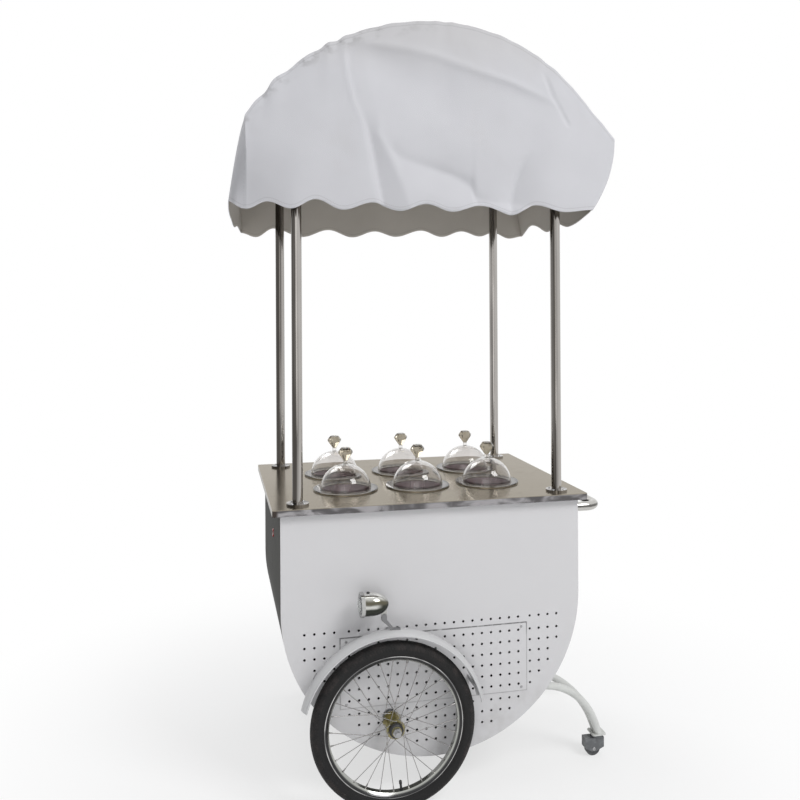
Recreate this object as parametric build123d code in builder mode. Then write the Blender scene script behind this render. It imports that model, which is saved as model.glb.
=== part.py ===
"""Ice cream push cart with a half-round belly, spoked wheels, domed pans and an arched canopy.

Frame: X along the cart (front end at -X, push handle at +X), Y across it (near side at -Y), Z up.
The origin is on the ground under the middle of the cart. All sizes are in millimetres.
"""
import os
from math import acos, asin, cos, degrees, hypot, radians, sin, sqrt, tan

from build123d import *

# Cabinet
cabinet_length = 950.0
cabinet_depth = 710.0
counter_height = 900.0
ground_clearance = 112.0
panel_sheet = 2.0
frame_tube = 25.0
upright_x = 300.0
deck_sheet = 3.0

# Countertop
counter_end_overhang = 25.0
counter_side_overhang = 20.0
counter_sheet = 2.0
counter_lip = 20.0
counter_corner = 5.0

# Perforation and vent cover
hole_size = 8.4
hole_sides = 8
hole_pitch_x = 30.0
hole_pitch_z = 34.0
border_gap_front = 45.0
border_gap_rear = 39.0
border_gap_z = 41.0
vent_columns = 19
vent_rows = 6
outer_columns = 4
lower_rows = 4
vent_middle_z = 392.0
vent_border = 27.5
vent_border_z = 22.0
vent_overlap = 16.0
vent_sheet = 1.5
belly_margin = 43.0

# Pans and lids
pan_columns = 3
pan_rows = 2
pan_pitch_x = 243.0
pan_pitch_y = 257.0
pan_radius = 100.0
pan_depth = 250.0
pan_wall = 1.2
pan_rim = 6.5
pan_rim_thick = 2.0
pan_bottom_bevel = 12.0
pan_hole_clearance = 1.5
lid_flange_inset = 0.5
lid_flange_thick = 3.0
lid_wall = 3.0
dome_radius = 84.0
dome_height = 78.0
knob_stem_radius = 7.0
knob_stem_height = 12.0
knob_radius = 24.0
knob_table_radius = 15.0
knob_pavilion = 24.0
knob_girdle = 5.0
knob_crown = 12.0
knob_sides = 8
tank_margin = 20.0
tank_wall = 30.0
tank_floor_gap = 12.0

# Wheels and axle
tyre_radius = 251.0
tyre_width = 48.0
rim_edge_radius = 211.0
rim_well_radius = 204.0
rim_inner_radius = 196.0
rim_width = 32.0
rim_flange = 3.0
rim_floor_width = 18.0
wheel_x = -146.0
wheel_gap = 62.0
spoke_count = 28
spoke_radius = 1.1
spoke_lean = 62.0
spoke_stagger = 2.4
spoke_seat = 2.0
hub_half = 44.0
hub_barrel_radius = 15.0
hub_flange_radius = 28.0
hub_flange_offset = 28.0
hub_flange_thick = 3.0
hub_cup_radius = 20.0
hub_cup_length = 12.0
spoke_circle_radius = 24.0
axle_radius = 8.0
axle_running_clearance = 0.05
axle_flange_radius = 22.0
axle_flange_thick = 6.0
axle_spacer_radius = 14.0
axle_end = 12.0
nut_width = 24.0
nut_thick = 8.0
axial_gap = 0.5

# Mudguards
guard_edge_radius = 273.0
guard_crown_rise = 13.0
guard_width = 52.0
guard_sheet = 1.5
guard_lip_radius = 2.5
guard_start = 11.0
guard_arc = 154.0
stay_width = 20.0
stay_thick = 3.0
stay_gap = 0.3
stay_bolt_radius = 4.0
stay_angles = (20.0, 90.0, 148.0)
stay_overrun = 10.0

# Headlamps
lamp_radius = 34.0
lamp_length = 86.0
lamp_barrel = 34.0
lamp_wall = 2.0
lamp_bezel_radius = 37.0
lamp_bezel_width = 9.0
lamp_height = 80.0
lamp_tail_x = -160.0
lens_bulge = 7.0
lens_edge = 3.0
lug_thick = 6.0
lug_radius = 8.0
lug_offset_x = 14.0
lug_drop = 39.0
lamp_pin_radius = 2.5
pin_clearance = 0.05
ear_thick = 2.5
ear_gap = 0.3
strap_thick = 3.0
foot_length = 26.0
foot_offset = 8.0
foot_sink = 1.4
button_radius = 5.0
button_proud = 3.0
button_depth = 6.0
button_offset = 24.0

# Canopy
post_end_inset = 81.0
post_side_inset = 62.0
post_radius = 16.0
post_wall = 1.5
post_flange_radius = 34.5
post_flange_thick = 6.0
canopy_front_overhang = 77.0
canopy_rear_overhang = 63.0
canopy_side_overhang = 75.0
canopy_top = 2352.0
front_spring = 2050.0
rear_spring = 2020.0
haunch_angle = 48.0
canopy_hem = 1797.0
hem_wave = 13.5
hem_pitch = 165.0
hem_lead = 23.0
hem_margin = 20.0
hem_flare_front_near = 28.5
hem_flare_front_far = -10.0
hem_flare_rear_near = -81.0
hem_flare_rear_far = 25.0
eaves_folds = (-222.0, 266.0)
hem_folds = (-191.0, 231.0)
billow = 9.0
scallops_short = 5
cloth = 3.0
cloth_clearance = 0.6
rail_radius = 11.0
purlin_angles = (-34.0, 0.0, 34.0)

# Push handle
handle_radius = 15.0
handle_wall = 1.5
handle_reach = 100.0
handle_half_width = 290.0
handle_drop = 62.0
handle_bend = 45.0
handle_flange_radius = 30.0
handle_flange_thick = 4.0

# Rear legs and casters
caster_run_out = 105.0
caster_y = 258.0
leg_radius = 12.0
leg_splay = 13.0
leg_foot_offset = 13.0
leg_knee_run = 57.0
leg_knee_rise = 159.0
leg_top_run = 280.0
leg_top_rise = 217.0
leg_bend = 260.0
leg_sink = 10.0
caster_plate = 48.0
caster_plate_width = 52.0
caster_plate_thick = 4.0
caster_plate_corner = 8.0
caster_wheel_radius = 25.0
caster_wheel_width = 20.0
caster_trail = 16.0
caster_race_radius = 20.0
caster_race_height = 10.0
caster_height = 72.0
fork_wall = 3.0
fork_side_gap = 2.0
fork_top_gap = 4.0
fork_hood_length = 30.0
caster_pin_radius = 4.0
swivel_gap = 0.4

# Cooling unit
compressor_x = 150.0
compressor_radius = 62.0
compressor_height = 140.0
compressor_foot = 170.0
compressor_foot_thick = 6.0
condenser_x = -100.0
condenser_y = -240.0
condenser_width = 260.0
condenser_height = 220.0
condenser_depth = 40.0
condenser_wall = 4.0
fin_count = 16
fin_thick = 2.0
fan_radius = 90.0
fan_hub_radius = 20.0
fan_hub_length = 18.0
fan_blades = 5
fan_blade_thick = 2.0
fan_blade_pitch = 28.0
fan_blade_chord = 46.0
fan_gap = 22.0
motor_radius = 28.0
motor_length = 50.0
shaft_radius = 4.0
motor_arm = 14.0

# Power switch
switch_y = -66.0
switch_z = 755.0
rocker_radius = 15.0
rocker_width = 14.0
rocker_sink = 8.0
rocker_gap = 0.5
rocker_tilt = 9.0
rocker_valley = 9.0

# Values worked out from the driving dimensions
belly_radius = cabinet_length / 2
belly_z = ground_clearance + belly_radius
cabinet_top = counter_height - counter_sheet
counter_length = cabinet_length + 2 * counter_end_overhang
counter_depth = cabinet_depth + 2 * counter_side_overhang
frame_x = belly_radius - panel_sheet
frame_y = cabinet_depth / 2 - panel_sheet
axle_z = tyre_radius
rail_low = axle_z - frame_tube / 2
deck_top = axle_z + frame_tube / 2 + deck_sheet
wheel_y = cabinet_depth / 2 + wheel_gap
axle_half = wheel_y + hub_half + axial_gap + nut_thick + axle_end
guard_crown_radius = guard_edge_radius + guard_crown_rise
lamp_z = axle_z + guard_crown_radius + lamp_height
pan_top = counter_height + pan_rim_thick
pan_floor = counter_height - pan_depth
post_x = counter_length / 2 - post_end_inset
post_y = counter_depth / 2 - post_side_inset
canopy_front_half = counter_length / 2 + canopy_front_overhang
canopy_rear_half = counter_length / 2 + canopy_rear_overhang
canopy_half_depth = counter_depth / 2 + canopy_side_overhang
hem_front_near = -canopy_front_half - hem_flare_front_near
hem_front_far = -canopy_front_half - hem_flare_front_far
hem_rear_near = canopy_rear_half + hem_flare_rear_near
hem_rear_far = canopy_rear_half + hem_flare_rear_far
front_rise = canopy_top - front_spring
rear_rise = canopy_top - rear_spring
haunch = radians(haunch_angle)
front_radius = (canopy_front_half ** 2 + front_rise ** 2) / (2 * front_rise)
rear_radius = (canopy_rear_half * tan(haunch) - rear_rise) / (1 / cos(haunch) - 1)
front_centre_z = canopy_top - front_radius
rear_centre_z = canopy_top - rear_radius
bar_inset = cloth + cloth_clearance + rail_radius
arch_radius = rear_radius - bar_inset
arch_y = canopy_half_depth - bar_inset
rail_x = canopy_rear_half - bar_inset
arch_bend_x = arch_radius * sin(haunch)
arch_bend_z = rear_centre_z + arch_radius * cos(haunch)
arch_foot_z = arch_bend_z - (rail_x - arch_bend_x) * tan(haunch)
rail_z = arch_foot_z - rail_radius / cos(haunch)
skirt_top = rail_z - rail_radius - cloth
caster_x = belly_radius + caster_run_out

NEAR = -1
FAR = 1
SIDES = ((NEAR, "near"), (FAR, "far"))
UP = (0, 0, 1)
ACROSS = (0, 1, 0)

os.makedirs("parts", exist_ok=True)


def keep(piece, name):
    """Label a finished piece and write it as its own file."""
    piece.part.label = name
    export_step(piece.part, f"parts/{name}.step")


def side_plane(y_low, thickness):
    """Upright plane, X to the right and Z up, whose extrusion by thickness ends at y_low."""
    return Plane.XZ.offset(-(y_low + thickness))


def outward(side, inner, thickness):
    """Lowest Y of a layer that starts at distance inner from the middle on one side."""
    return inner if side == FAR else -inner - thickness


def turned_plane(x, y):
    """Upright plane through a vertical axis, for profiles that are revolved about it."""
    return Plane(origin=(x, y, 0), x_dir=(1, 0, 0), z_dir=(0, -1, 0))


def wheel_plane(side, angle=90.0):
    """Plane through the wheel axis: local X is the radius, local Y runs away from the cabinet."""
    c, s = cos(radians(angle)), sin(radians(angle))
    return Plane(origin=(wheel_x, side * wheel_y, axle_z), x_dir=(c, 0, s), z_dir=(-side * s, 0, side * c))


def wheel_axis():
    """The axle line."""
    return Axis((wheel_x, 0, axle_z), ACROSS)


def belly_outline(radius, mode=Mode.ADD):
    """U-shaped cabinet outline: straight sides above a half-round belly."""
    with BuildLine() as outline:
        Polyline((-radius, belly_z), (-radius, cabinet_top), (radius, cabinet_top), (radius, belly_z))
        ThreePointArc((radius, belly_z), (0, belly_z - radius), (-radius, belly_z))
    make_face(outline.edges(), mode=mode)


def spread(count, pitch):
    """Places of a centred row."""
    return [(i - (count - 1) / 2) * pitch for i in range(count)]


vent_xs = spread(vent_columns, hole_pitch_x)
vent_zs = [vent_middle_z + z for z in spread(vent_rows, hole_pitch_z)]
front_xs = [vent_xs[0] - border_gap_front - i * hole_pitch_x for i in range(outer_columns)]
rear_xs = [vent_xs[-1] + border_gap_rear + i * hole_pitch_x for i in range(outer_columns)]
lower_zs = [vent_zs[0] - border_gap_z - i * hole_pitch_z for i in range(lower_rows)]
vent_half_width = vent_xs[-1] + vent_border
vent_half_height = vent_zs[-1] - vent_middle_z + vent_border_z


def panel_holes():
    """Perforations of a side panel: all round the vent cover, inside the belly's edge."""
    columns = vent_xs + front_xs + rear_xs
    rows = vent_zs + lower_zs + [vent_zs[-1] + border_gap_z]
    places = []
    for z in rows:
        for x in columns:
            under_cover = x in vent_xs and z in vent_zs
            in_belly = hypot(x, min(z - belly_z, 0)) < belly_radius - belly_margin
            off_axle = hypot(x - wheel_x, z - axle_z) > axle_flange_radius + hole_size
            if in_belly and off_axle and not under_cover:
                places.append((x, z))
    return places


def side_panel(side, name):
    """Perforated side sheet with the vent opening and the axle hole."""
    plane = side_plane(outward(side, cabinet_depth / 2 - panel_sheet, panel_sheet), panel_sheet)
    with BuildPart() as panel:
        with BuildSketch(plane):
            belly_outline(belly_radius)
            with Locations((0, vent_middle_z)):
                Rectangle(2 * (vent_half_width - vent_overlap), 2 * (vent_half_height - vent_overlap),
                          mode=Mode.SUBTRACT)
            with Locations((wheel_x, axle_z)):
                Circle(axle_radius + axial_gap, mode=Mode.SUBTRACT)
            with Locations(*panel_holes()):
                RegularPolygon(hole_size / 2, hole_sides, mode=Mode.SUBTRACT)
        extrude(amount=panel_sheet)
    keep(panel, f"{name}_side_panel")


def vent_panel(side, name):
    """Perforated service cover that lies on the side panel."""
    plane = side_plane(outward(side, cabinet_depth / 2, vent_sheet), vent_sheet)
    with BuildPart() as cover:
        with BuildSketch(plane):
            with Locations((0, vent_middle_z)):
                Rectangle(2 * vent_half_width, 2 * vent_half_height)
                with GridLocations(hole_pitch_x, hole_pitch_z, vent_columns, vent_rows):
                    RegularPolygon(hole_size / 2, hole_sides, mode=Mode.SUBTRACT)
        extrude(amount=vent_sheet)
    keep(cover, f"{name}_vent_panel")


def wrap_panel():
    """One bent sheet: front end, belly and rear end, with the switch cut-out in the front end."""
    with BuildPart() as wrap:
        with BuildSketch(side_plane(-frame_y, 2 * frame_y)):
            belly_outline(belly_radius)
            belly_outline(belly_radius - panel_sheet, mode=Mode.SUBTRACT)
        extrude(amount=2 * frame_y)
        with BuildSketch(Plane.YZ.offset(-belly_radius)):
            with Locations((switch_y, switch_z)):
                chord = sqrt(rocker_radius ** 2 - (rocker_sink - panel_sheet) ** 2)
                Rectangle(rocker_width + 2 * rocker_gap, 2 * (chord + rocker_gap))
        extrude(amount=panel_sheet, mode=Mode.SUBTRACT)
    keep(wrap, "wrap_panel")


def countertop():
    """Folded stainless top with six pan cut-outs."""
    low = Plane.XY.offset(counter_height - counter_lip)
    with BuildPart() as top:
        with BuildSketch(low):
            RectangleRounded(counter_length, counter_depth, counter_corner)
        extrude(amount=counter_lip)
        with BuildSketch(low):
            Rectangle(counter_length - 2 * counter_corner, counter_depth - 2 * counter_sheet)
            Rectangle(counter_length - 2 * counter_sheet, counter_depth - 2 * counter_corner)
        extrude(amount=counter_lip - counter_sheet, mode=Mode.SUBTRACT)
        with BuildSketch(Plane.XY.offset(cabinet_top)):
            with GridLocations(pan_pitch_x, pan_pitch_y, pan_columns, pan_rows):
                Circle(pan_radius + pan_hole_clearance)
        extrude(amount=counter_sheet, mode=Mode.SUBTRACT)
    keep(top, "countertop")


def inner_frame():
    """Welded square bars: top ring, four uprights, lower ring with the axle bores, floor deck."""
    upright_y = frame_y - frame_tube / 2
    with BuildPart() as frame:
        with BuildSketch(Plane.XY.offset(cabinet_top - frame_tube)):
            Rectangle(2 * frame_x, 2 * frame_y)
            Rectangle(2 * (frame_x - frame_tube), 2 * (frame_y - frame_tube), mode=Mode.SUBTRACT)
        extrude(amount=frame_tube)
        with BuildSketch(Plane.XY.offset(rail_low)):
            with GridLocations(2 * upright_x, 2 * upright_y, 2, 2):
                Rectangle(frame_tube, frame_tube)
        extrude(amount=cabinet_top - frame_tube - rail_low)
        with BuildSketch(Plane.XY.offset(rail_low)):
            Rectangle(2 * upright_x + frame_tube, 2 * frame_y)
            Rectangle(2 * upright_x - frame_tube, 2 * (frame_y - frame_tube), mode=Mode.SUBTRACT)
        extrude(amount=frame_tube)
        with BuildSketch(Plane.XY.offset(deck_top - deck_sheet)):
            Rectangle(2 * upright_x + frame_tube, 2 * frame_y)
        extrude(amount=deck_sheet)
        with BuildSketch(side_plane(-frame_y, 2 * frame_y)):
            with Locations((wheel_x, axle_z)):
                Circle(axle_radius)
        extrude(amount=2 * frame_y, mode=Mode.SUBTRACT)
    keep(frame, "inner_frame")


def insulated_tank():
    """Foamed double-skin tank that hangs under the countertop round the pans."""
    inner_x = (pan_columns - 1) * pan_pitch_x + 2 * (pan_radius + tank_margin)
    inner_y = (pan_rows - 1) * pan_pitch_y + 2 * (pan_radius + tank_margin)
    floor = pan_floor - tank_floor_gap
    with BuildPart() as tank:
        with BuildSketch(Plane.XY.offset(floor - tank_wall)):
            Rectangle(inner_x + 2 * tank_wall, inner_y + 2 * tank_wall)
        extrude(amount=cabinet_top - floor + tank_wall)
        with BuildSketch(Plane.XY.offset(floor)):
            Rectangle(inner_x, inner_y)
        extrude(amount=cabinet_top - floor, mode=Mode.SUBTRACT)
    keep(tank, "insulated_tank")


def pan(x, y, name):
    """Round ice cream pan that hangs by its rim in the countertop."""
    inner = pan_radius - pan_wall
    with BuildPart() as tub:
        with BuildSketch(turned_plane(x, y)):
            with BuildLine():
                Polyline(
                    (0, pan_floor),
                    (pan_radius - pan_bottom_bevel, pan_floor),
                    (pan_radius, pan_floor + pan_bottom_bevel),
                    (pan_radius, counter_height),
                    (pan_radius + pan_rim, counter_height),
                    (pan_radius + pan_rim, pan_top),
                    (inner, pan_top),
                    (inner, pan_floor + pan_bottom_bevel),
                    (inner - pan_bottom_bevel + pan_wall, pan_floor + pan_wall),
                    (0, pan_floor + pan_wall),
                    close=True,
                )
            make_face()
        revolve(axis=Axis((x, y, 0), UP))
    keep(tub, f"{name}_pan")


def lid(x, y, name):
    """Clear lid: flat flange on the pan's rim, dome, and a cut knob on a short stem."""
    flange = pan_radius + pan_rim - lid_flange_inset
    base = pan_top + lid_flange_thick
    apex = base + dome_height
    sphere = (dome_radius ** 2 + dome_height ** 2) / (2 * dome_height)
    middle = apex - sphere
    inner = sphere - lid_wall
    inner_foot = sqrt(inner ** 2 - (pan_top - middle) ** 2)
    slope = radians(45)
    stem_top = apex + knob_stem_height
    girdle = stem_top + knob_pavilion
    crown = girdle + knob_girdle
    with BuildPart() as cover:
        with BuildSketch(turned_plane(x, y)):
            with BuildLine():
                Line((0, apex - lid_wall), (0, apex))
                ThreePointArc(
                    (0, apex), (sphere * sin(slope), middle + sphere * cos(slope)), (dome_radius, base)
                )
                Polyline((dome_radius, base), (flange, base), (flange, pan_top), (inner_foot, pan_top))
                ThreePointArc((inner_foot, pan_top), (inner * sin(slope), middle + inner * cos(slope)),
                              (0, apex - lid_wall))
            make_face()
        revolve(axis=Axis((x, y, 0), UP))
        with BuildSketch(Plane((x, y, apex - lid_wall / 2))):
            Circle(knob_stem_radius)
        extrude(amount=stem_top - apex + lid_wall / 2)
        with BuildSketch(Plane((x, y, stem_top))):
            RegularPolygon(knob_stem_radius, knob_sides)
        with BuildSketch(Plane((x, y, girdle))):
            RegularPolygon(knob_radius, knob_sides)
        loft(ruled=True)
        with BuildSketch(Plane((x, y, girdle))):
            RegularPolygon(knob_radius, knob_sides)
        extrude(amount=knob_girdle)
        with BuildSketch(Plane((x, y, crown))):
            RegularPolygon(knob_radius, knob_sides)
        with BuildSketch(Plane((x, y, crown + knob_crown))):
            RegularPolygon(knob_table_radius, knob_sides)
        loft(ruled=True)
    keep(cover, f"{name}_lid")


def axle():
    """Through axle with its two bolting flanges and the spacers inside the hubs."""
    with BuildPart() as shaft:
        with BuildSketch(side_plane(-axle_half, 2 * axle_half)):
            with Locations((wheel_x, axle_z)):
                Circle(axle_radius)
        extrude(amount=2 * axle_half)
        for side, _ in SIDES:
            panel_face = cabinet_depth / 2
            with BuildSketch(side_plane(outward(side, panel_face, axle_flange_thick), axle_flange_thick)):
                with Locations((wheel_x, axle_z)):
                    Circle(axle_flange_radius)
            extrude(amount=axle_flange_thick)
            spacer = wheel_gap - hub_half - axial_gap
            with BuildSketch(side_plane(outward(side, panel_face, spacer), spacer)):
                with Locations((wheel_x, axle_z)):
                    Circle(axle_spacer_radius)
            extrude(amount=spacer)
    keep(shaft, "axle")


def axle_nuts():
    """Hexagon nuts that hold the hubs on the axle."""
    start = wheel_y + hub_half + axial_gap
    with BuildPart() as nuts:
        for side, _ in SIDES:
            with BuildSketch(side_plane(outward(side, start, nut_thick), nut_thick)):
                with Locations((wheel_x, axle_z)):
                    RegularPolygon(nut_width / 2, 6, major_radius=False)
                    Circle(axle_radius, mode=Mode.SUBTRACT)
            extrude(amount=nut_thick)
    keep(nuts, "axle_nuts")


def tyre(side, name):
    """Round-section tyre seated on the rim's edges."""
    section = tyre_width / 2
    centre = tyre_radius - section
    with BuildPart() as ring:
        with BuildSketch(wheel_plane(side)):
            with Locations((centre, 0)):
                Circle(section)
            with Locations((rim_edge_radius, 0)):
                Rectangle(tyre_width, tyre_width, align=(Align.MAX, Align.CENTER), mode=Mode.SUBTRACT)
        revolve(axis=wheel_axis())
    keep(ring, f"{name}_tyre")


def rim(side, name):
    """Rolled rim: well, two edges that hold the tyre, and a narrower floor for the spokes."""
    half = rim_width / 2
    inside = half - rim_flange
    floor = rim_floor_width / 2
    with BuildPart() as hoop:
        with BuildSketch(wheel_plane(side)):
            with BuildLine():
                Polyline(
                    (rim_edge_radius, half),
                    (rim_edge_radius, inside),
                    (rim_well_radius, inside),
                    (rim_well_radius, -inside),
                    (rim_edge_radius, -inside),
                    (rim_edge_radius, -half),
                    (rim_well_radius, -half),
                    (rim_inner_radius, -floor),
                    (rim_inner_radius, floor),
                    (rim_well_radius, half),
                    close=True,
                )
            make_face()
        revolve(axis=wheel_axis())
    keep(hoop, f"{name}_rim")


def spokes(side, name):
    """Crossed spokes from two hub flanges to the rim, leaning by turns forward and back."""
    with BuildPart() as lacing:
        for i in range(spoke_count):
            flange = 1 if i % 2 else -1
            lean = 1 if (i // 2) % 2 else -1
            rim_angle = radians(i * 360 / spoke_count)
            hub_angle = rim_angle + radians(lean * spoke_lean)
            start = Vector(
                wheel_x + spoke_circle_radius * cos(hub_angle),
                side * wheel_y + flange * hub_flange_offset + lean * spoke_stagger,
                axle_z + spoke_circle_radius * sin(hub_angle),
            )
            end = Vector(
                wheel_x + (rim_inner_radius + spoke_seat) * cos(rim_angle),
                side * wheel_y + flange * rim_floor_width / 6,
                axle_z + (rim_inner_radius + spoke_seat) * sin(rim_angle),
            )
            with BuildSketch(Plane(origin=start, z_dir=end - start)):
                RegularPolygon(spoke_radius, 6)
            extrude(amount=(end - start).length)
    keep(lacing, f"{name}_spokes")


def hub(side, name):
    """Turned hub: barrel, two spoke flanges and bearing cups, running on the axle."""
    bore = axle_radius + axle_running_clearance
    flange_in = hub_flange_offset - hub_flange_thick / 2
    flange_out = hub_flange_offset + hub_flange_thick / 2
    cup = hub_half - hub_cup_length
    half_profile = [
        (hub_barrel_radius, 0),
        (hub_barrel_radius, flange_in),
        (hub_flange_radius, flange_in),
        (hub_flange_radius, flange_out),
        (hub_cup_radius, flange_out),
        (hub_cup_radius, cup + hub_cup_length / 2),
        (hub_barrel_radius, hub_half),
        (bore, hub_half),
    ]
    mirrored = [(r, -y) for r, y in reversed(half_profile[1:])]
    with BuildPart() as turned:
        with BuildSketch(wheel_plane(side)):
            with BuildLine():
                Polyline(*half_profile, *mirrored, close=True)
            make_face()
        revolve(axis=wheel_axis())
    keep(turned, f"{name}_hub")


def guard_cap(mode=Mode.ADD, sheet=0):
    """Crowned mudguard section, from the outer face or from the inner face."""
    half = guard_width / 2 - sheet
    with BuildLine() as outline:
        ThreePointArc((guard_edge_radius, -half), (guard_crown_radius - sheet, 0), (guard_edge_radius, half))
        Line((guard_edge_radius, half), (guard_edge_radius, -half))
    make_face(outline.edges(), mode=mode)


def fender(side, name):
    """Arched mudguard with rolled lips."""
    half = guard_width / 2
    with BuildPart() as guard:
        with BuildSketch(wheel_plane(side, guard_start + guard_arc)):
            guard_cap()
            guard_cap(Mode.SUBTRACT, guard_sheet)
            with Locations((guard_edge_radius, half), (guard_edge_radius, -half)):
                Circle(guard_lip_radius)
        revolve(axis=wheel_axis(), revolution_arc=guard_arc)
    keep(guard, f"{name}_fender")


def on_vent_cover(x, z):
    """Whether a place on the side panel lies under the vent cover."""
    return abs(x) < vent_half_width and abs(z - vent_middle_z) < vent_half_height


def fender_stays():
    """Flat straps from the side panels to the mudguards, each with a bolt up to the crown."""
    outer = guard_edge_radius - guard_lip_radius - stay_gap
    bolt_top = guard_crown_radius - guard_sheet - stay_gap
    with BuildPart() as stays:
        for side, _ in SIDES:
            for angle in stay_angles:
                plane = wheel_plane(side, angle)
                c, s = cos(radians(angle)), sin(radians(angle))
                seat = vent_sheet if on_vent_cover(wheel_x + outer * c, axle_z + outer * s) else 0
                with BuildSketch(plane):
                    with Locations((outer, seat - wheel_gap)):
                        Rectangle(stay_thick, wheel_gap - seat + stay_overrun, align=(Align.MAX, Align.MIN))
                extrude(amount=stay_width / 2, both=True)
                with BuildSketch(Plane(origin=plane.from_local_coords((outer, 0, 0)), z_dir=(c, 0, s))):
                    Circle(stay_bolt_radius)
                extrude(amount=bolt_top - outer)
    keep(stays, "fender_stays")


lamp_front_x = lamp_tail_x - lamp_length
lamp_barrel_end = lamp_front_x + lamp_barrel
lamp_pivot_x = lamp_tail_x - lug_offset_x
lamp_pivot_z = lamp_z - lug_drop
button_x = lamp_front_x + button_offset


def lamp_shell(side, name):
    """Bullet-shaped lamp body: barrel with a bezel, round tail, and the lug that it tilts on."""
    middle = side * wheel_y
    nose = lamp_tail_x - lamp_barrel_end
    inner = lamp_radius - lamp_wall
    tail_start = (lamp_barrel_end, lamp_z)
    axis = Axis((0, middle, lamp_z), (1, 0, 0))
    with BuildPart() as shell:
        with BuildSketch(turned_plane(0, middle)):
            with BuildLine():
                Polyline(
                    (lamp_tail_x, lamp_z),
                    (lamp_front_x, lamp_z),
                    (lamp_front_x, lamp_z + lamp_bezel_radius),
                    (lamp_front_x + lamp_bezel_width, lamp_z + lamp_bezel_radius),
                    (lamp_front_x + lamp_bezel_width, lamp_z + lamp_radius),
                    (lamp_barrel_end, lamp_z + lamp_radius),
                )
                EllipticalCenterArc(tail_start, nose, lamp_radius, start_angle=0, arc_size=90)
            make_face()
        revolve(axis=axis)
        lug_plane = side_plane(middle - lug_thick / 2, lug_thick)
        with BuildSketch(lug_plane):
            with Locations((lamp_pivot_x, lamp_pivot_z)):
                Circle(lug_radius)
                Rectangle(2 * lug_radius, lug_drop, align=(Align.CENTER, Align.MIN))
        extrude(amount=lug_thick)
        with BuildSketch(turned_plane(0, middle)):
            with BuildLine():
                Polyline(
                    (lamp_tail_x - lamp_wall, lamp_z),
                    (lamp_front_x, lamp_z),
                    (lamp_front_x, lamp_z + inner),
                    (lamp_barrel_end, lamp_z + inner),
                )
                EllipticalCenterArc(tail_start, nose - lamp_wall, inner, start_angle=0, arc_size=90)
            make_face()
        revolve(axis=axis, mode=Mode.SUBTRACT)
        with BuildSketch(lug_plane):
            with Locations((lamp_pivot_x, lamp_pivot_z)):
                Circle(lamp_pin_radius + pin_clearance)
        extrude(amount=lug_thick, mode=Mode.SUBTRACT)
        with BuildSketch(Plane((button_x, middle, lamp_z))):
            Circle(button_radius + pin_clearance)
        extrude(amount=lamp_bezel_radius, mode=Mode.SUBTRACT)
    keep(shell, f"{name}_lamp_shell")


def lamp_lens(side, name):
    """Convex front glass seated in the barrel's mouth."""
    middle = side * wheel_y
    edge = lamp_radius - lamp_wall
    sphere = (edge ** 2 + lens_bulge ** 2) / (2 * lens_bulge)
    half_turn = asin(edge / sphere) / 2
    tip_x = lamp_front_x - lens_bulge
    with BuildPart() as glass:
        with BuildSketch(turned_plane(0, middle)):
            with BuildLine():
                ThreePointArc(
                    (tip_x, lamp_z),
                    (tip_x + sphere * (1 - cos(half_turn)), lamp_z + sphere * sin(half_turn)),
                    (lamp_front_x, lamp_z + edge),
                )
                Polyline(
                    (lamp_front_x, lamp_z + edge),
                    (lamp_front_x + lens_edge, lamp_z + edge),
                    (lamp_front_x + lens_edge, lamp_z),
                    (tip_x, lamp_z),
                )
            make_face()
        revolve(axis=Axis((0, middle, lamp_z), (1, 0, 0)))
    keep(glass, f"{name}_lamp_lens")


def lamp_switch(side, name):
    """Push button on top of the lamp."""
    with BuildPart() as button:
        with BuildSketch(Plane((button_x, side * wheel_y, lamp_z + lamp_radius + button_proud))):
            Circle(button_radius)
        extrude(amount=-button_depth)
        chamfer(button.edges().group_by(Axis.Z)[-1], length=button_proud / 3)
    keep(button, f"{name}_lamp_switch")


def lamp_bracket(side, name):
    """Strap from the mudguard's crown, ending in two ears and the pin of the lamp's lug."""
    middle = side * wheel_y
    foot_x = wheel_x + foot_offset
    foot_z = axle_z + guard_crown_radius
    ear_inner = lug_thick / 2 + ear_gap
    half = ear_inner + ear_thick
    neck_z = lamp_pivot_z - lug_radius - strap_thick
    whole = side_plane(middle - half, 2 * half)
    with BuildPart() as strap:
        with BuildSketch(whole):
            with BuildLine():
                Polyline(
                    (foot_x + foot_length / 2, foot_z - foot_sink),
                    (foot_x + foot_length / 2, foot_z + strap_thick),
                    (foot_x - foot_length / 4, foot_z + strap_thick),
                    (lamp_pivot_x + lug_radius, neck_z),
                    (lamp_pivot_x + lug_radius, lamp_pivot_z),
                    (lamp_pivot_x - lug_radius, lamp_pivot_z),
                    (lamp_pivot_x - lug_radius, neck_z),
                    (foot_x - foot_length / 2, foot_z + strap_thick / 2),
                    (foot_x - foot_length / 2, foot_z - foot_sink),
                    close=True,
                )
            make_face()
            with Locations((lamp_pivot_x, lamp_pivot_z)):
                Circle(lug_radius)
        extrude(amount=2 * half)
        with BuildSketch(side_plane(middle - ear_inner, 2 * ear_inner)):
            with Locations((lamp_pivot_x, lamp_pivot_z)):
                Circle(lug_radius + strap_thick / 2)
                Rectangle(2 * (lug_radius + strap_thick), 2 * lug_radius, align=(Align.CENTER, Align.MIN))
        extrude(amount=2 * ear_inner, mode=Mode.SUBTRACT)
        with BuildSketch(whole):
            with Locations((lamp_pivot_x, lamp_pivot_z)):
                Circle(lamp_pin_radius)
        extrude(amount=2 * half)
        with BuildSketch(wheel_plane(side, guard_start + guard_arc)):
            guard_cap()
        revolve(axis=wheel_axis(), revolution_arc=guard_arc, mode=Mode.SUBTRACT)
    keep(strap, f"{name}_lamp_bracket")


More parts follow.
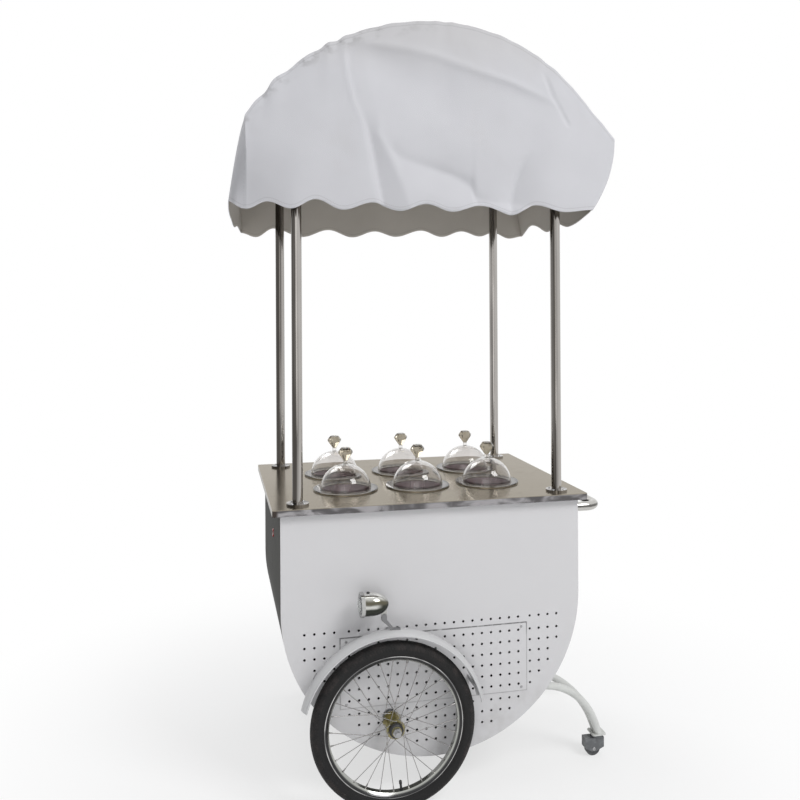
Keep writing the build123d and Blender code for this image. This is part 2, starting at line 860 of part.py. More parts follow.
def post(x, y, name):
    """Canopy post: stainless tube on a welded base flange."""
    top = rail_z - rail_radius
    with BuildPart() as tube:
        with BuildSketch(Plane((x, y, counter_height))):
            Circle(post_flange_radius)
        extrude(amount=post_flange_thick)
        with BuildSketch(Plane((x, y, counter_height))):
            Circle(post_radius)
        extrude(amount=top - counter_height)
        with BuildSketch(Plane((x, y, counter_height))):
            Circle(post_radius - post_wall)
        extrude(amount=top - counter_height, mode=Mode.SUBTRACT)
    keep(tube, f"{name}_post")


def canopy_arch(side, name):
    """Bent tube under one gable: round at the top, straight at the haunches, coped onto the end rails."""
    with BuildPart() as arch:
        front_bend, rear_bend = (-arch_bend_x, arch_bend_z), (arch_bend_x, arch_bend_z)
        with BuildLine(turned_plane(0, side * arch_y)) as route:
            Line((-rail_x, arch_foot_z), front_bend)
            ThreePointArc(front_bend, (0, rear_centre_z + arch_radius), rear_bend)
            Line(rear_bend, (rail_x, arch_foot_z))
        foot = (-rail_x, side * arch_y, arch_foot_z)
        with BuildSketch(Plane(origin=foot, z_dir=(cos(haunch), 0, sin(haunch)))):
            Circle(rail_radius)
        sweep(path=route.wire())
        with BuildSketch(side_plane(-canopy_half_depth, 2 * canopy_half_depth)):
            with Locations((-rail_x, rail_z), (rail_x, rail_z)):
                Circle(rail_radius)
        extrude(amount=2 * canopy_half_depth, mode=Mode.SUBTRACT)
    keep(arch, f"canopy_{name}_arch")


def canopy_rails():
    """Straight bars of the canopy: two end rails, two bearers on the posts, and the purlins."""
    bearer_half = rail_x - rail_radius
    purlin_half = arch_y - rail_radius
    rail_half = arch_y + rail_radius
    with BuildPart() as rails:
        with BuildSketch(side_plane(-rail_half, 2 * rail_half)):
            with Locations((-rail_x, rail_z), (rail_x, rail_z)):
                Circle(rail_radius)
        extrude(amount=2 * rail_half)
        with BuildSketch(Plane.YZ.offset(-bearer_half)):
            with Locations((-post_y, rail_z), (post_y, rail_z)):
                Circle(rail_radius)
        extrude(amount=2 * bearer_half)
        with BuildSketch(side_plane(-purlin_half, 2 * purlin_half)):
            for angle in purlin_angles:
                turn = radians(90 - angle)
                with Locations((arch_radius * cos(turn), rear_centre_z + arch_radius * sin(turn))):
                    Circle(rail_radius)
        extrude(amount=2 * purlin_half)
    keep(rails, "canopy_rails")


def skirt_sections(inset):
    """Level sections of the skirt: straight at the eaves, shifted, leaning and in soft folds at the hem."""
    front, rear = inset - canopy_front_half, canopy_rear_half - inset
    near, far = inset - canopy_half_depth, canopy_half_depth - inset
    with BuildSketch(Plane.XY.offset(skirt_top)) as eaves:
        with BuildLine():
            near_edge = [(front, near)] + [(x, near) for x in eaves_folds] + [(rear, near)]
            Polyline(*near_edge, (rear, far), (front, far), close=True)
        make_face()
    with BuildSketch(Plane.XY.offset(canopy_hem - 2 * hem_wave)) as hem:
        with BuildLine():
            folds = [hem_front_near + inset, *hem_folds, hem_rear_near - inset]
            for x, next_x in zip(folds, folds[1:]):
                ThreePointArc((x, near), ((x + next_x) / 2, near - billow), (next_x, near))
            far_corners = [(hem_rear_far - inset, far), (hem_front_far + inset, far)]
            Polyline((folds[-1], near), *far_corners, (folds[0], near))
        make_face()
    return hem.sketch, eaves.sketch


def vault_section(inset):
    """Gable outline above the skirt: full and round at the front, flat over the haunch at the rear."""
    front, rear = inset - canopy_front_half, canopy_rear_half - inset
    front_r, rear_r = front_radius - inset, rear_radius - inset
    front_z = front_centre_z + sqrt(front_r ** 2 - front ** 2)
    front_turn = asin(front / front_r) / 2
    bend = (rear_r * sin(haunch), rear_centre_z + rear_r * cos(haunch))
    apex = (0, canopy_top - inset)
    with BuildLine() as outline:
        ThreePointArc(
            (front, front_z),
            (front_r * sin(front_turn), front_centre_z + front_r * cos(front_turn)),
            apex,
        )
        ThreePointArc(apex, (rear_r * sin(haunch / 2), rear_centre_z + rear_r * cos(haunch / 2)), bend)
        Polyline(
            bend,
            (rear, bend[1] - (rear - bend[0]) * tan(haunch)),
            (rear, skirt_top),
            (front, skirt_top),
            (front, front_z),
        )
    make_face(outline.edges())


def hem_waste(first_trough, pitch, last):
    """Region under a scalloped hem that starts at a lowest point."""
    floor = canopy_hem - 4 * hem_wave
    start = first_trough - pitch / 4
    count = int((last - start) / (pitch / 2)) + 1
    with BuildLine() as outline:
        for k in range(count):
            left = start + k * pitch / 2
            right = left + pitch / 2
            swing = hem_wave if k % 2 else -hem_wave
            ThreePointArc((left, canopy_hem), ((left + right) / 2, canopy_hem + swing), (right, canopy_hem))
        Polyline((right, canopy_hem), (right, floor), (start, floor), (start, canopy_hem))
    make_face(outline.edges())


def canopy_cover():
    """Canvas cover: arched top, upright gables and a hanging skirt, open below, with a scalloped hem."""
    reach = canopy_front_half + canopy_half_depth
    end_pitch = 2 * canopy_half_depth / scallops_short
    inner_depth = canopy_half_depth - cloth
    with BuildPart() as cover:
        loft(skirt_sections(0), ruled=True)
        with BuildSketch(side_plane(-canopy_half_depth, 2 * canopy_half_depth)):
            vault_section(0)
        extrude(amount=2 * canopy_half_depth)
        loft(skirt_sections(cloth), ruled=True, mode=Mode.SUBTRACT)
        with BuildSketch(side_plane(-inner_depth, 2 * inner_depth)):
            vault_section(cloth)
        extrude(amount=2 * inner_depth, mode=Mode.SUBTRACT)
        with BuildSketch(Plane.XZ):
            hem_waste(-canopy_front_half - hem_lead, hem_pitch, canopy_front_half + hem_margin)
        extrude(amount=reach, both=True, mode=Mode.SUBTRACT)
        with BuildSketch(Plane.YZ):
            hem_waste(-canopy_half_depth, end_pitch, canopy_half_depth + hem_margin)
        extrude(amount=reach, both=True, mode=Mode.SUBTRACT)
    keep(cover, "canopy_cover")


def push_handle():
    """U-shaped stainless tube on two flanges at the rear end."""
    z = counter_height - handle_drop
    far_x = belly_radius + handle_reach
    with BuildPart() as handle:
        with BuildLine() as route:
            FilletPolyline(
                (belly_radius, -handle_half_width, z),
                (far_x, -handle_half_width, z),
                (far_x, handle_half_width, z),
                (belly_radius, handle_half_width, z),
                radius=handle_bend,
            )
        with BuildSketch(Plane(origin=(belly_radius, -handle_half_width, z), z_dir=(1, 0, 0))):
            Circle(handle_radius)
            Circle(handle_radius - handle_wall, mode=Mode.SUBTRACT)
        sweep(path=route.wire())
        with BuildSketch(Plane.YZ.offset(belly_radius)):
            with Locations((-handle_half_width, z), (handle_half_width, z)):
                Circle(handle_flange_radius)
                Circle(handle_radius - handle_wall, mode=Mode.SUBTRACT)
        extrude(amount=handle_flange_thick)
    keep(handle, "push_handle")


def leg(side, name):
    """Two bent tubes that spread from the caster plate up to the belly sheet."""
    plate_low = caster_height
    plate_top = plate_low + caster_plate_thick
    y = side * caster_y
    with BuildPart() as stand:
        with BuildSketch(Plane((caster_x, y, plate_low))):
            RectangleRounded(caster_plate, caster_plate_width, caster_plate_corner)
        extrude(amount=caster_plate_thick)
        for way in (-1, 1):
            turn = way * leg_splay
            c, s = cos(radians(turn)), sin(radians(turn))
            foot_y = y + way * leg_foot_offset
            upright = Plane(origin=(caster_x, foot_y, plate_top), x_dir=(-c, s, 0), z_dir=(s, c, 0))
            foot = (-leg_sink * leg_knee_run / leg_knee_rise, -leg_sink)
            with BuildLine(upright) as route:
                knee = (leg_knee_run, leg_knee_rise)
                FilletPolyline(foot, knee, (leg_top_run, leg_top_rise), radius=leg_bend)
            with BuildSketch(Plane(origin=route.line @ 0, z_dir=route.line % 0)):
                Circle(leg_radius)
            sweep(path=route.wire())
        with BuildSketch(side_plane(-cabinet_depth / 2, cabinet_depth)):
            belly_outline(belly_radius)
        extrude(amount=cabinet_depth, mode=Mode.SUBTRACT)
        with BuildSketch(Plane((caster_x, y, plate_low))):
            Rectangle(2 * caster_plate, 2 * caster_plate)
        extrude(amount=-caster_height, mode=Mode.SUBTRACT)
    keep(stand, f"{name}_leg")


def caster_fork(side, name):
    """Hooded swivel fork with its race and the riveted wheel pin."""
    y = side * caster_y
    pin_x = caster_x - caster_trail
    half = caster_wheel_width / 2 + fork_side_gap + fork_wall
    cheek = half - fork_wall
    race_low = caster_height - swivel_gap - caster_race_height
    hood_low = caster_wheel_radius + caster_pin_radius
    with BuildPart() as fork:
        with BuildSketch(Plane((caster_x, y, race_low))):
            Circle(caster_race_radius)
        extrude(amount=caster_race_height)
        with BuildSketch(side_plane(y - half, 2 * half)):
            with BuildLine():
                Polyline(
                    (caster_x + caster_race_radius, race_low),
                    (pin_x - fork_hood_length, race_low),
                    (pin_x - fork_hood_length, hood_low),
                    (pin_x - 2 * caster_pin_radius, caster_wheel_radius - 2 * caster_pin_radius),
                    (pin_x + 2 * caster_pin_radius, caster_wheel_radius - 2 * caster_pin_radius),
                    (caster_x + caster_race_radius, hood_low),
                    close=True,
                )
            make_face()
        extrude(amount=2 * half)
        with BuildSketch(side_plane(y - cheek, 2 * cheek)):
            with Locations((pin_x, caster_wheel_radius)):
                Circle(caster_wheel_radius + fork_top_gap)
            with Locations((pin_x, 0)):
                Rectangle(4 * caster_wheel_radius, 2 * caster_wheel_radius)
        extrude(amount=2 * cheek, mode=Mode.SUBTRACT)
        with BuildSketch(side_plane(y - half, 2 * half)):
            with Locations((pin_x, caster_wheel_radius)):
                Circle(caster_pin_radius)
        extrude(amount=2 * half)
    keep(fork, f"{name}_caster_fork")


def caster_wheel(side, name):
    """Solid caster wheel with eased edges, running on the pin."""
    pin_x = caster_x - caster_trail
    low = side * caster_y - caster_wheel_width / 2
    with BuildPart() as roller:
        with BuildSketch(side_plane(low, caster_wheel_width)):
            with Locations((pin_x, caster_wheel_radius)):
                Circle(caster_wheel_radius)
                Circle(caster_pin_radius + pin_clearance, mode=Mode.SUBTRACT)
        extrude(amount=caster_wheel_width)
        rims = roller.edges().filter_by(GeomType.CIRCLE).sort_by(SortBy.RADIUS)[-2:]
        chamfer(rims, length=caster_wheel_width / 8)
    keep(roller, f"{name}_caster_wheel")


def compressor():
    """Domed compressor can on its foot plate."""
    dome = compressor_radius / 2
    with BuildPart() as can:
        with BuildSketch(Plane((compressor_x, 0, deck_top))):
            RectangleRounded(compressor_foot, compressor_foot, dome)
        extrude(amount=compressor_foot_thick)
        with BuildSketch(Plane((compressor_x, 0, deck_top))):
            Circle(compressor_radius)
        extrude(amount=compressor_height)
        fillet(can.edges().group_by(Axis.Z)[-1], radius=dome)
    keep(can, "compressor")


def condenser():
    """Finned condenser core in a frame that also carries the fan motor on two arms."""
    plane_low = condenser_y - condenser_depth / 2
    middle_z = deck_top + condenser_height / 2
    core_width = condenser_width - 2 * condenser_wall
    core_height = condenser_height - 2 * condenser_wall
    fin_pitch = core_width / fin_count
    motor_low = condenser_y + condenser_depth / 2 + fan_gap + fan_hub_length
    with BuildPart() as unit:
        with BuildSketch(side_plane(plane_low, condenser_depth)):
            with Locations((condenser_x, middle_z)):
                Rectangle(condenser_width, condenser_height)
                with GridLocations(fin_pitch, 1, fin_count, 1):
                    Rectangle(fin_pitch - fin_thick, core_height, mode=Mode.SUBTRACT)
        extrude(amount=condenser_depth)
        with BuildSketch(side_plane(motor_low, motor_length)):
            with Locations((condenser_x, middle_z)):
                Circle(motor_radius)
        extrude(amount=motor_length)
        bar_low = motor_low + (motor_length - motor_arm) / 2
        with BuildSketch(side_plane(bar_low, motor_arm)):
            with Locations((condenser_x, middle_z)):
                Rectangle(condenser_width, motor_arm)
        extrude(amount=motor_arm)
        arm_span = bar_low + motor_arm - plane_low
        with BuildSketch(side_plane(plane_low, arm_span)):
            with Locations((condenser_x, middle_z)):
                with GridLocations(condenser_width - condenser_wall, 1, 2, 1):
                    Rectangle(condenser_wall, motor_arm)
        extrude(amount=arm_span)
        shaft_span = fan_hub_length + fan_gap / 2
        with BuildSketch(side_plane(motor_low - shaft_span, shaft_span)):
            with Locations((condenser_x, middle_z)):
                Circle(shaft_radius)
        extrude(amount=shaft_span)
    keep(unit, "condenser")


def fan():
    """Pitched-blade fan on the motor shaft."""
    middle_z = deck_top + condenser_height / 2
    hub_low = condenser_y + condenser_depth / 2 + fan_gap - axial_gap
    with BuildPart() as blower:
        with BuildSketch(side_plane(hub_low, fan_hub_length)):
            with Locations((condenser_x, middle_z)):
                Circle(fan_hub_radius)
        extrude(amount=fan_hub_length)
        for i in range(fan_blades):
            angle = radians(i * 360 / fan_blades)
            spoke = Vector(cos(angle), 0, sin(angle))
            root = Vector(condenser_x, hub_low + fan_hub_length / 2, middle_z) + spoke * (fan_hub_radius / 2)
            across = Vector(0, 1, 0).rotate(Axis((0, 0, 0), spoke), fan_blade_pitch)
            with BuildSketch(Plane(origin=root, x_dir=across, z_dir=spoke)):
                Rectangle(fan_blade_thick, fan_blade_chord / 2)
            tip = root + spoke * (fan_radius - fan_hub_radius / 2)
            with BuildSketch(Plane(origin=tip, x_dir=across, z_dir=spoke)):
                Rectangle(fan_blade_thick, fan_blade_chord)
            loft(ruled=True)
        with BuildSketch(side_plane(hub_low - fan_gap, fan_hub_length + 2 * fan_gap)):
            with Locations((condenser_x, middle_z)):
                Circle(shaft_radius + pin_clearance)
        extrude(amount=fan_hub_length + 2 * fan_gap, mode=Mode.SUBTRACT)
    keep(blower, "fan")


def power_switch():
    """Red rocker: a drum that turns in its cut-out, with two flats as the thumb faces."""
    pivot_x = rocker_sink - belly_radius
    low = switch_y - rocker_width / 2
    with BuildPart() as rocker:
        with BuildSketch(side_plane(low, rocker_width)):
            with Locations((pivot_x, switch_z)):
                Circle(rocker_radius)
            valley_x = pivot_x - rocker_valley
            lift = rocker_radius * tan(radians(rocker_tilt))
            with BuildLine():
                Polyline(
                    (valley_x, switch_z),
                    (valley_x - lift, switch_z + rocker_radius),
                    (valley_x - rocker_radius, switch_z + rocker_radius),
                    (valley_x - rocker_radius, switch_z - rocker_radius),
                    (valley_x - lift, switch_z - rocker_radius),
                    close=True,
                )
            make_face(mode=Mode.SUBTRACT)
        extrude(amount=rocker_width)
    keep(rocker, "power_switch")


for side, name in SIDES:
    side_panel(side, name)
    vent_panel(side, name)
    tyre(side, name)
    rim(side, name)
    spokes(side, name)
    hub(side, name)
    fender(side, name)
    lamp_shell(side, name)
    lamp_lens(side, name)
    lamp_switch(side, name)
    lamp_bracket(side, name)
    canopy_arch(side, name)
    leg(side, name)
    caster_fork(side, name)
    caster_wheel(side, name)

wrap_panel()
countertop()
inner_frame()
insulated_tank()
axle()
axle_nuts()
fender_stays()
canopy_rails()
canopy_cover()
push_handle()
compressor()
condenser()
fan()
power_switch()

for row, row_name in ((NEAR, "near"), (FAR, "far")):
    for column, column_name in ((-1, "front"), (0, "middle"), (1, "rear")):
        place = (column * pan_pitch_x, row * pan_pitch_y / 2)
        pan(*place, f"{row_name}_{column_name}")
        lid(*place, f"{row_name}_{column_name}")
    for end, end_name in ((-1, "front"), (1, "rear")):
        post(end * post_x, row * post_y, f"{row_name}_{end_name}")
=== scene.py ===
from math import cos, exp, pi, radians, sin, sqrt, tan

import bmesh
import bpy
from mathutils import Matrix, Vector

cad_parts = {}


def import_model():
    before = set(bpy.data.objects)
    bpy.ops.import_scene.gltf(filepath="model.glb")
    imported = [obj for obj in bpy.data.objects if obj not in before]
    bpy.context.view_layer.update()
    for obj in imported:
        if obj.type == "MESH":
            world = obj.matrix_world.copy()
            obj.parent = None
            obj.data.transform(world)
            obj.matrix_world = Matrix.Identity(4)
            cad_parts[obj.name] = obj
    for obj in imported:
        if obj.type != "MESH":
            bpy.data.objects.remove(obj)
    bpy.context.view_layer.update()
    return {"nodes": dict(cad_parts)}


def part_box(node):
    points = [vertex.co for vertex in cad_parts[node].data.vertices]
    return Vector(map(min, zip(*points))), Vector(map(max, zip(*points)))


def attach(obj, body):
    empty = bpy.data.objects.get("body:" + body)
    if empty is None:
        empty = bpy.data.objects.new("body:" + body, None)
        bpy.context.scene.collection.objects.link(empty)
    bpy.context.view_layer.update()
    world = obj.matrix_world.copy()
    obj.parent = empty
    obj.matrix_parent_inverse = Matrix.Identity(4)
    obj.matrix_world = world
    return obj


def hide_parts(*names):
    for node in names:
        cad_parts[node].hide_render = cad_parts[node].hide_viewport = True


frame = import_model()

# Words that the repeated solids' names are made of. The near side lies at minus y.
SIDES = (("near", -1), ("far", 1))
PLACES = [f"{row}_{column}" for row in ("near", "far") for column in ("front", "middle", "rear")]
POSTS = [f"{row}_{end}_post" for row in ("near", "far") for end in ("front", "rear")]

# Places and sizes of the solids, in metres. The lamps stand in the wheels' middle planes.
WHEEL = Vector((-0.146, 0.417, 0.251))
SPOKES, SPOKE_LEAN = 28, 62.0
HUB_HOLES, HUB_FLANGE = 0.024, 0.028
RIM_HOLES, RIM_STAGGER = 0.198, 0.003
RIM_INNER, RIM_WALL, RIM_EDGE = 0.1975, 0.2020, 0.2076
LAMP_FRONT, LAMP_Z = -0.246, 0.617
LAMP_GLASS_BACK = 0.0036
REFLECTOR_RADIUS, REFLECTOR_DEPTH = 0.0312, 0.030
CASTER = Vector((0.564, 0.258, 0.025))
CASTER_HALF_WIDTH = 0.015
VENT_HALF_LENGTH, VENT_HALF_HEIGHT, VENT_Z = 0.2975, 0.107, 0.392
VENT_SCREW_X, VENT_SCREW_Z = 0.018, 0.012
COUNTER_EDGE = 0.8985
LID_FLANGE_Z, KNOB_Z = 0.909, 0.993
PAN_PITCH, PAN_Y, PAN_RADIUS = 0.243, 0.1285, 0.100
POST_X, POST_Y = 0.419, 0.313
POST_FOOT_TOP, POST_SCREW_RING = 0.906, 0.0255
HANDLE_FACE, HANDLE_Y, HANDLE_Z = 0.479, 0.290, 0.838
HANDLE_SCREW_RING = 0.0225

# Screw heads: radius and height
SHEET_SCREW, HANDLE_SCREW, CASTER_BOLT = (0.0042, 0.0022), (0.0040, 0.0022), (0.0060, 0.0026)

# Collar and shank of a spoke nipple: radius at each end, length, distance from the rim
NIPPLE = ((0.0027, 0.0025, 0.004, 0.003), (0.0023, 0.0016, 0.009, 0.0095))

# Turned fittings: radius and distance along the axis
VALVE = (
    (0, 0), (0.0062, 0), (0.0062, 0.0030), (0.0036, 0.0036), (0.0036, 0.0190), (0.0046, 0.0194),
    (0.0046, 0.0270), (0.0036, 0.0290), (0, 0.0294),
)
VALVE_FOOT, VALVE_TURN = 0.1975, radians(-6.5 * 360 / SPOKES)
DUST_CAP = (
    (0.0196, 0.0310), (0.0212, 0.0316), (0.0216, 0.0355), (0.0210, 0.0392), (0.0190, 0.0420),
    (0.0160, 0.0436), (0.0149, 0.0437), (0.0149, 0.0428), (0.0170, 0.0400), (0.0196, 0.0310),
)
BULB = (
    (0, 0.008), (0.0030, 0.0086), (0.0050, 0.0112), (0.0054, 0.0142), (0.0044, 0.0180), (0.0040, 0.0215),
    (0.0046, 0.0222), (0.0046, 0.0290), (0, 0.0292),
)

# Camera, as fitted to the photographed cart
CAMERA_AT = (-0.6799, -2.9493, 1.5134)
CAMERA_YAW, CAMERA_PITCH, CAMERA_ROLL = 0.2175, -0.0025, 0.0052
FOCAL_PIXELS, PICTURE_PIXELS, SENSOR_WIDTH = 865.8, 800, 36.0
CAMERA_SHIFT = -0.125


class Wire:
    """A socket whose sums and products add the nodes that work them out."""

    def __init__(self, nodes, socket):
        self.nodes = nodes
        self.socket = socket

    def __add__(self, other):
        return self.nodes.maths("ADD", self, other)

    def __radd__(self, other):
        return self.nodes.maths("ADD", other, self)

    def __sub__(self, other):
        return self.nodes.maths("SUBTRACT", self, other)

    def __rsub__(self, other):
        return self.nodes.maths("SUBTRACT", other, self)

    def __mul__(self, other):
        return self.nodes.maths("MULTIPLY", self, other)

    def __rmul__(self, other):
        return self.nodes.maths("MULTIPLY", other, self)

    def __truediv__(self, other):
        return self.nodes.maths("DIVIDE", self, other)

    def __rtruediv__(self, other):
        return self.nodes.maths("DIVIDE", other, self)

    def __pow__(self, other):
        return self.nodes.maths("POWER", self, other)

    def __abs__(self):
        return self.nodes.maths("ABSOLUTE", self)


class Nodes:
    """The nodes of a finish or of the surround, all added in one way."""

    def __init__(self, tree):
        self.tree = tree

    def node(self, kind, settings=None, sockets=None, output=0):
        """Adds a node, sets it up, fills or links its sockets and gives one of its outputs."""
        made = self.tree.nodes.new(kind)
        for key, value in (settings or {}).items():
            setattr(made, key, value)
        for key, value in (sockets or {}).items():
            if isinstance(value, Wire):
                self.tree.links.new(value.socket, made.inputs[key])
            else:
                made.inputs[key].default_value = value
        return Wire(self, made.outputs[output])

    def maths(self, operation, *values):
        """Result of a Math node."""
        return self.node("ShaderNodeMath", {"operation": operation}, dict(enumerate(values)))

    def shown(self):
        """1 on a ray that is seen straight on, in a mirror or through something clear."""
        rays = ("Camera", "Glossy", "Transmission")
        seen, glint, through = [self.node("ShaderNodeLightPath", output=f"Is {ray} Ray") for ray in rays]
        return self.maths("MAXIMUM", self.maths("MAXIMUM", seen, glint), through)

    def surface(self, end, share, first, second):
        """Feeds a blend of two shaders to the node that ends the tree."""
        both = self.node("ShaderNodeMixShader", None, {0: share, 1: first, 2: second})
        self.tree.links.new(both.socket, self.tree.nodes[end].inputs["Surface"])


class Finish(Nodes):
    """A surface finish: one shader and the nodes that feed it."""

    def __init__(self, name, plain):
        self.material = bpy.data.materials.new(name)
        self.material.use_nodes = True
        super().__init__(self.material.node_tree)
        self.shader = self.tree.nodes["Principled BSDF"]
        for socket, value in plain.items():
            self.shader.inputs[socket].default_value = value

    def feed(self, **wires):
        """Links wires to the shader, with the socket's words joined by underscores."""
        for name, wire in wires.items():
            self.tree.links.new(wire.socket, self.shader.inputs[name.replace("_", " ")])
        return self

    def overlay(self, share, shader):
        """Blends another shader over the finish's own."""
        self.surface("Material Output", share, Wire(self, self.shader.outputs[0]), shader)
        return self

    def place(self, at=(0, 0, 0), size=(1, 1, 1)):
        """Place on the object, counted from a point, in pattern units of the given size."""
        here = self.node("ShaderNodeTexCoord", output="Object")
        settings = {"vector_type": "TEXTURE"}
        return self.node("ShaderNodeMapping", settings, {0: here, "Location": at, "Scale": size})

    def along(self, axis, at=(0, 0, 0)):
        """Distance from a point along one axis of the object."""
        return self.node("ShaderNodeSeparateXYZ", None, {0: self.place(at)}, axis)

    def axle_place(self):
        """Distances behind, above and away from the wheels' axle."""
        x, z = self.along(0, (WHEEL.x, 0, 0)), self.along(2, (0, 0, WHEEL.z))
        return x, z, (x * x + z * z) ** 0.5

    def noise(self, size, detail=3.0, roughness=0.55, swirl=0.0):
        """Cloudy variation from 0 to 1 with patches of the given size."""
        size = size if hasattr(size, "__len__") else (size, size, size)
        sockets = {"Vector": self.place(size=size), "Scale": 1.0, "Detail": detail}
        sockets.update({"Roughness": roughness, "Distortion": swirl})
        return self.node("ShaderNodeTexNoise", {"noise_dimensions": "3D"}, sockets)

    def flakes(self, size):
        """Random flat patches of the given size, each with a value from 0 to 1."""
        sockets = {"Vector": self.place(size=(size, size, size)), "Scale": 1.0}
        colour = self.node("ShaderNodeTexVoronoi", {"feature": "F1"}, sockets, "Color")
        return self.node("ShaderNodeSeparateColor", None, {0: colour}, 0)

    def smears(self):
        """Patches that hands have smeared."""
        return self.step(self.noise(0.05, 5.0, 0.6, 1.2), 0.52, 0.72)

    def plating(self):
        """Dull pits and cloudy haze of bright plating."""
        return self.step(self.noise(0.004, 3.0), 0.66, 0.78), self.noise(0.03, 4.0, 0.6, 0.8)

    def step(self, value, low, high):
        """Soft step from 0 at low to 1 at high."""
        sockets = {"Value": value, "From Min": low, "From Max": high}
        return self.node("ShaderNodeMapRange", {"interpolation_type": "SMOOTHSTEP"}, sockets)

    def mix(self, share, first, second):
        """Blend of two colours."""
        colours = [c if isinstance(c, Wire) else (*c, 1.0) for c in (first, second)]
        return self.node("ShaderNodeMix", {"data_type": "RGBA"}, {0: share, 6: colours[0], 7: colours[1]}, 2)

    def bump(self, height, depth, strength):
        """Surface relief of the given depth."""
        return self.node("ShaderNodeBump", None, {"Height": height, "Distance": depth, "Strength": strength})

    def drawn(self, grain):
        """Relief of the fine grain that rolling or drawing leaves."""
        return self.feed(Normal=self.bump(grain, 0.0002, 0.12))

    def sine(self, value):
        """Even waves along a value."""
        return self.maths("SINE", value)


def painted(name, light, shade, gloss=0.34, seam_shadow=False):
    """Sprayed metal: fine orange peel, faint clouding, low dust, and a painted shadow line in the vent cover's
    seam.
    """
    f = Finish(name, {"Coat Weight": 0.15, "Coat Roughness": 0.2, "Specular IOR Level": 0.45})
    cloud = f.noise(0.35)
    speck = f.noise(0.012, 4.0)
    dust = f.step(f.along(2), 0.42, 0.08) * f.step(f.noise(0.06, 5.0), 0.42, 0.75)
    dusty = (0.62 * shade[0], 0.6014 * shade[1], 0.5642 * shade[2])
    base = f.mix(dust * 0.45, f.mix(cloud, light, shade), dusty)
    if seam_shadow:
        # Painted shadow: a thin dark line round the vent cover's edge, strongest along its top, broken by
        # speckle
        x, z = abs(f.along(0)) - VENT_HALF_LENGTH, f.along(2, (0, 0, VENT_Z))
        off = f.maths("MAXIMUM", x, abs(z) - VENT_HALF_HEIGHT)
        line = f.step(abs(off), 0.0026, 0.0008) * (0.35 + 0.5 * f.step(z, 0.05, VENT_HALF_HEIGHT))
        base = f.mix(line * f.step(speck, 0.2, 0.5), base, (0.10, 0.10, 0.10))
    f.feed(Base_Color=base, Roughness=gloss + 0.12 * speck + 0.2 * dust)
    return f.feed(Normal=f.bump(f.noise(0.0035, 2.0), 0.0004, 0.35))


def shaded_end_sheet():
    """Rolled end sheet: fine upright grain, soft clouding and smears; its dark base is painted shade, and a
    near-black specular tint dulls it where it is seen aslant, as a painted dark reflection.
    """
    f = Finish("shaded_end_sheet_steel", {"Metallic": 1.0, "Specular Tint": (0.08, 0.08, 0.08, 1.0)})
    fine = f.noise((0.004, 0.004, 0.12), 2.0)
    cloud = f.noise(0.22, 3.0, 0.5, 0.6)
    # Painted shade: the base colour is far darker than bare steel, standing in for the shaded end
    f.feed(Base_Color=f.mix(0.65 * cloud + 0.35 * fine, (0.26, 0.26, 0.25), (0.19, 0.19, 0.18)))
    return f.feed(Roughness=0.30 + 0.10 * fine + 0.08 * f.smears()).drawn(fine)


def pan_sheet():
    """Spun pan steel: rosy inside, painted lighter than the plain outside as painted light, with the rim as
    warm as the counter it rests on.
    """
    f = Finish("pan_steel", {"Metallic": 1.0})
    fine = f.noise((0.004, 0.004, 0.08), 2.0)
    cloud = f.noise(0.22, 3.0, 0.5, 0.6)
    x, y = f.along(0), abs(f.along(1)) - PAN_Y
    x = x - PAN_PITCH * f.maths("ROUND", x / PAN_PITCH)
    outside = f.step((x * x + y * y) ** 0.5, PAN_RADIUS - 0.0009, PAN_RADIUS - 0.0004)
    grain = 0.65 * cloud + 0.35 * fine
    # Painted light: the inside is lighter than the outside, standing in for light reaching into the pans
    inner = f.mix(grain, (0.86, 0.775, 0.80), (0.74, 0.655, 0.69))
    bowl = f.mix(outside, inner, f.mix(grain, (0.60, 0.59, 0.575), (0.46, 0.455, 0.445)))
    rim = f.mix(cloud, (0.318, 0.283, 0.230), (0.252, 0.225, 0.182))
    f.feed(Base_Color=f.mix(f.step(f.along(2), 0.893, 0.897), bowl, rim), Roughness=0.24 + 0.10 * fine)
    return f.drawn(fine)


def counter_sheet():
    """Mirror-rolled counter sheet, a little wavy; its folded lip carries dark and bright painted reflections,
    and painted shade at its front end.
    """
    f = Finish("counter_steel", {"Metallic": 1.0, "Specular Tint": (0.80, 0.78, 0.74, 1.0)})
    fine = f.noise((0.15, 0.003, 0.003), 2.0)
    cloud = f.noise(0.3, 3.0, 0.5, 0.6)
    sheet = f.mix(0.7 * cloud + 0.3 * fine, (0.338, 0.302, 0.247), (0.272, 0.243, 0.198))
    # Painted reflections: dark and bright patches along the folded lip
    reflection_streak = f.step(f.noise((0.07, 0.07, 0.03), 3.0, 0.5, 0.8), 0.36, 0.66)
    lip = f.mix(reflection_streak, (0.115, 0.110, 0.113), (0.36, 0.35, 0.36))
    # Painted shade: the lip's front end is made darker
    lip = f.mix(f.step(f.along(0), -0.478, -0.490), lip, (0.060, 0.050, 0.045))
    f.feed(Base_Color=f.mix(f.step(f.along(2), COUNTER_EDGE, COUNTER_EDGE - 0.001), sheet, lip))
    f.feed(Roughness=0.15 + 0.06 * fine + 0.08 * f.smears())
    return f.feed(Normal=f.bump(f.noise(0.11, 1.0), 0.004, 0.1))


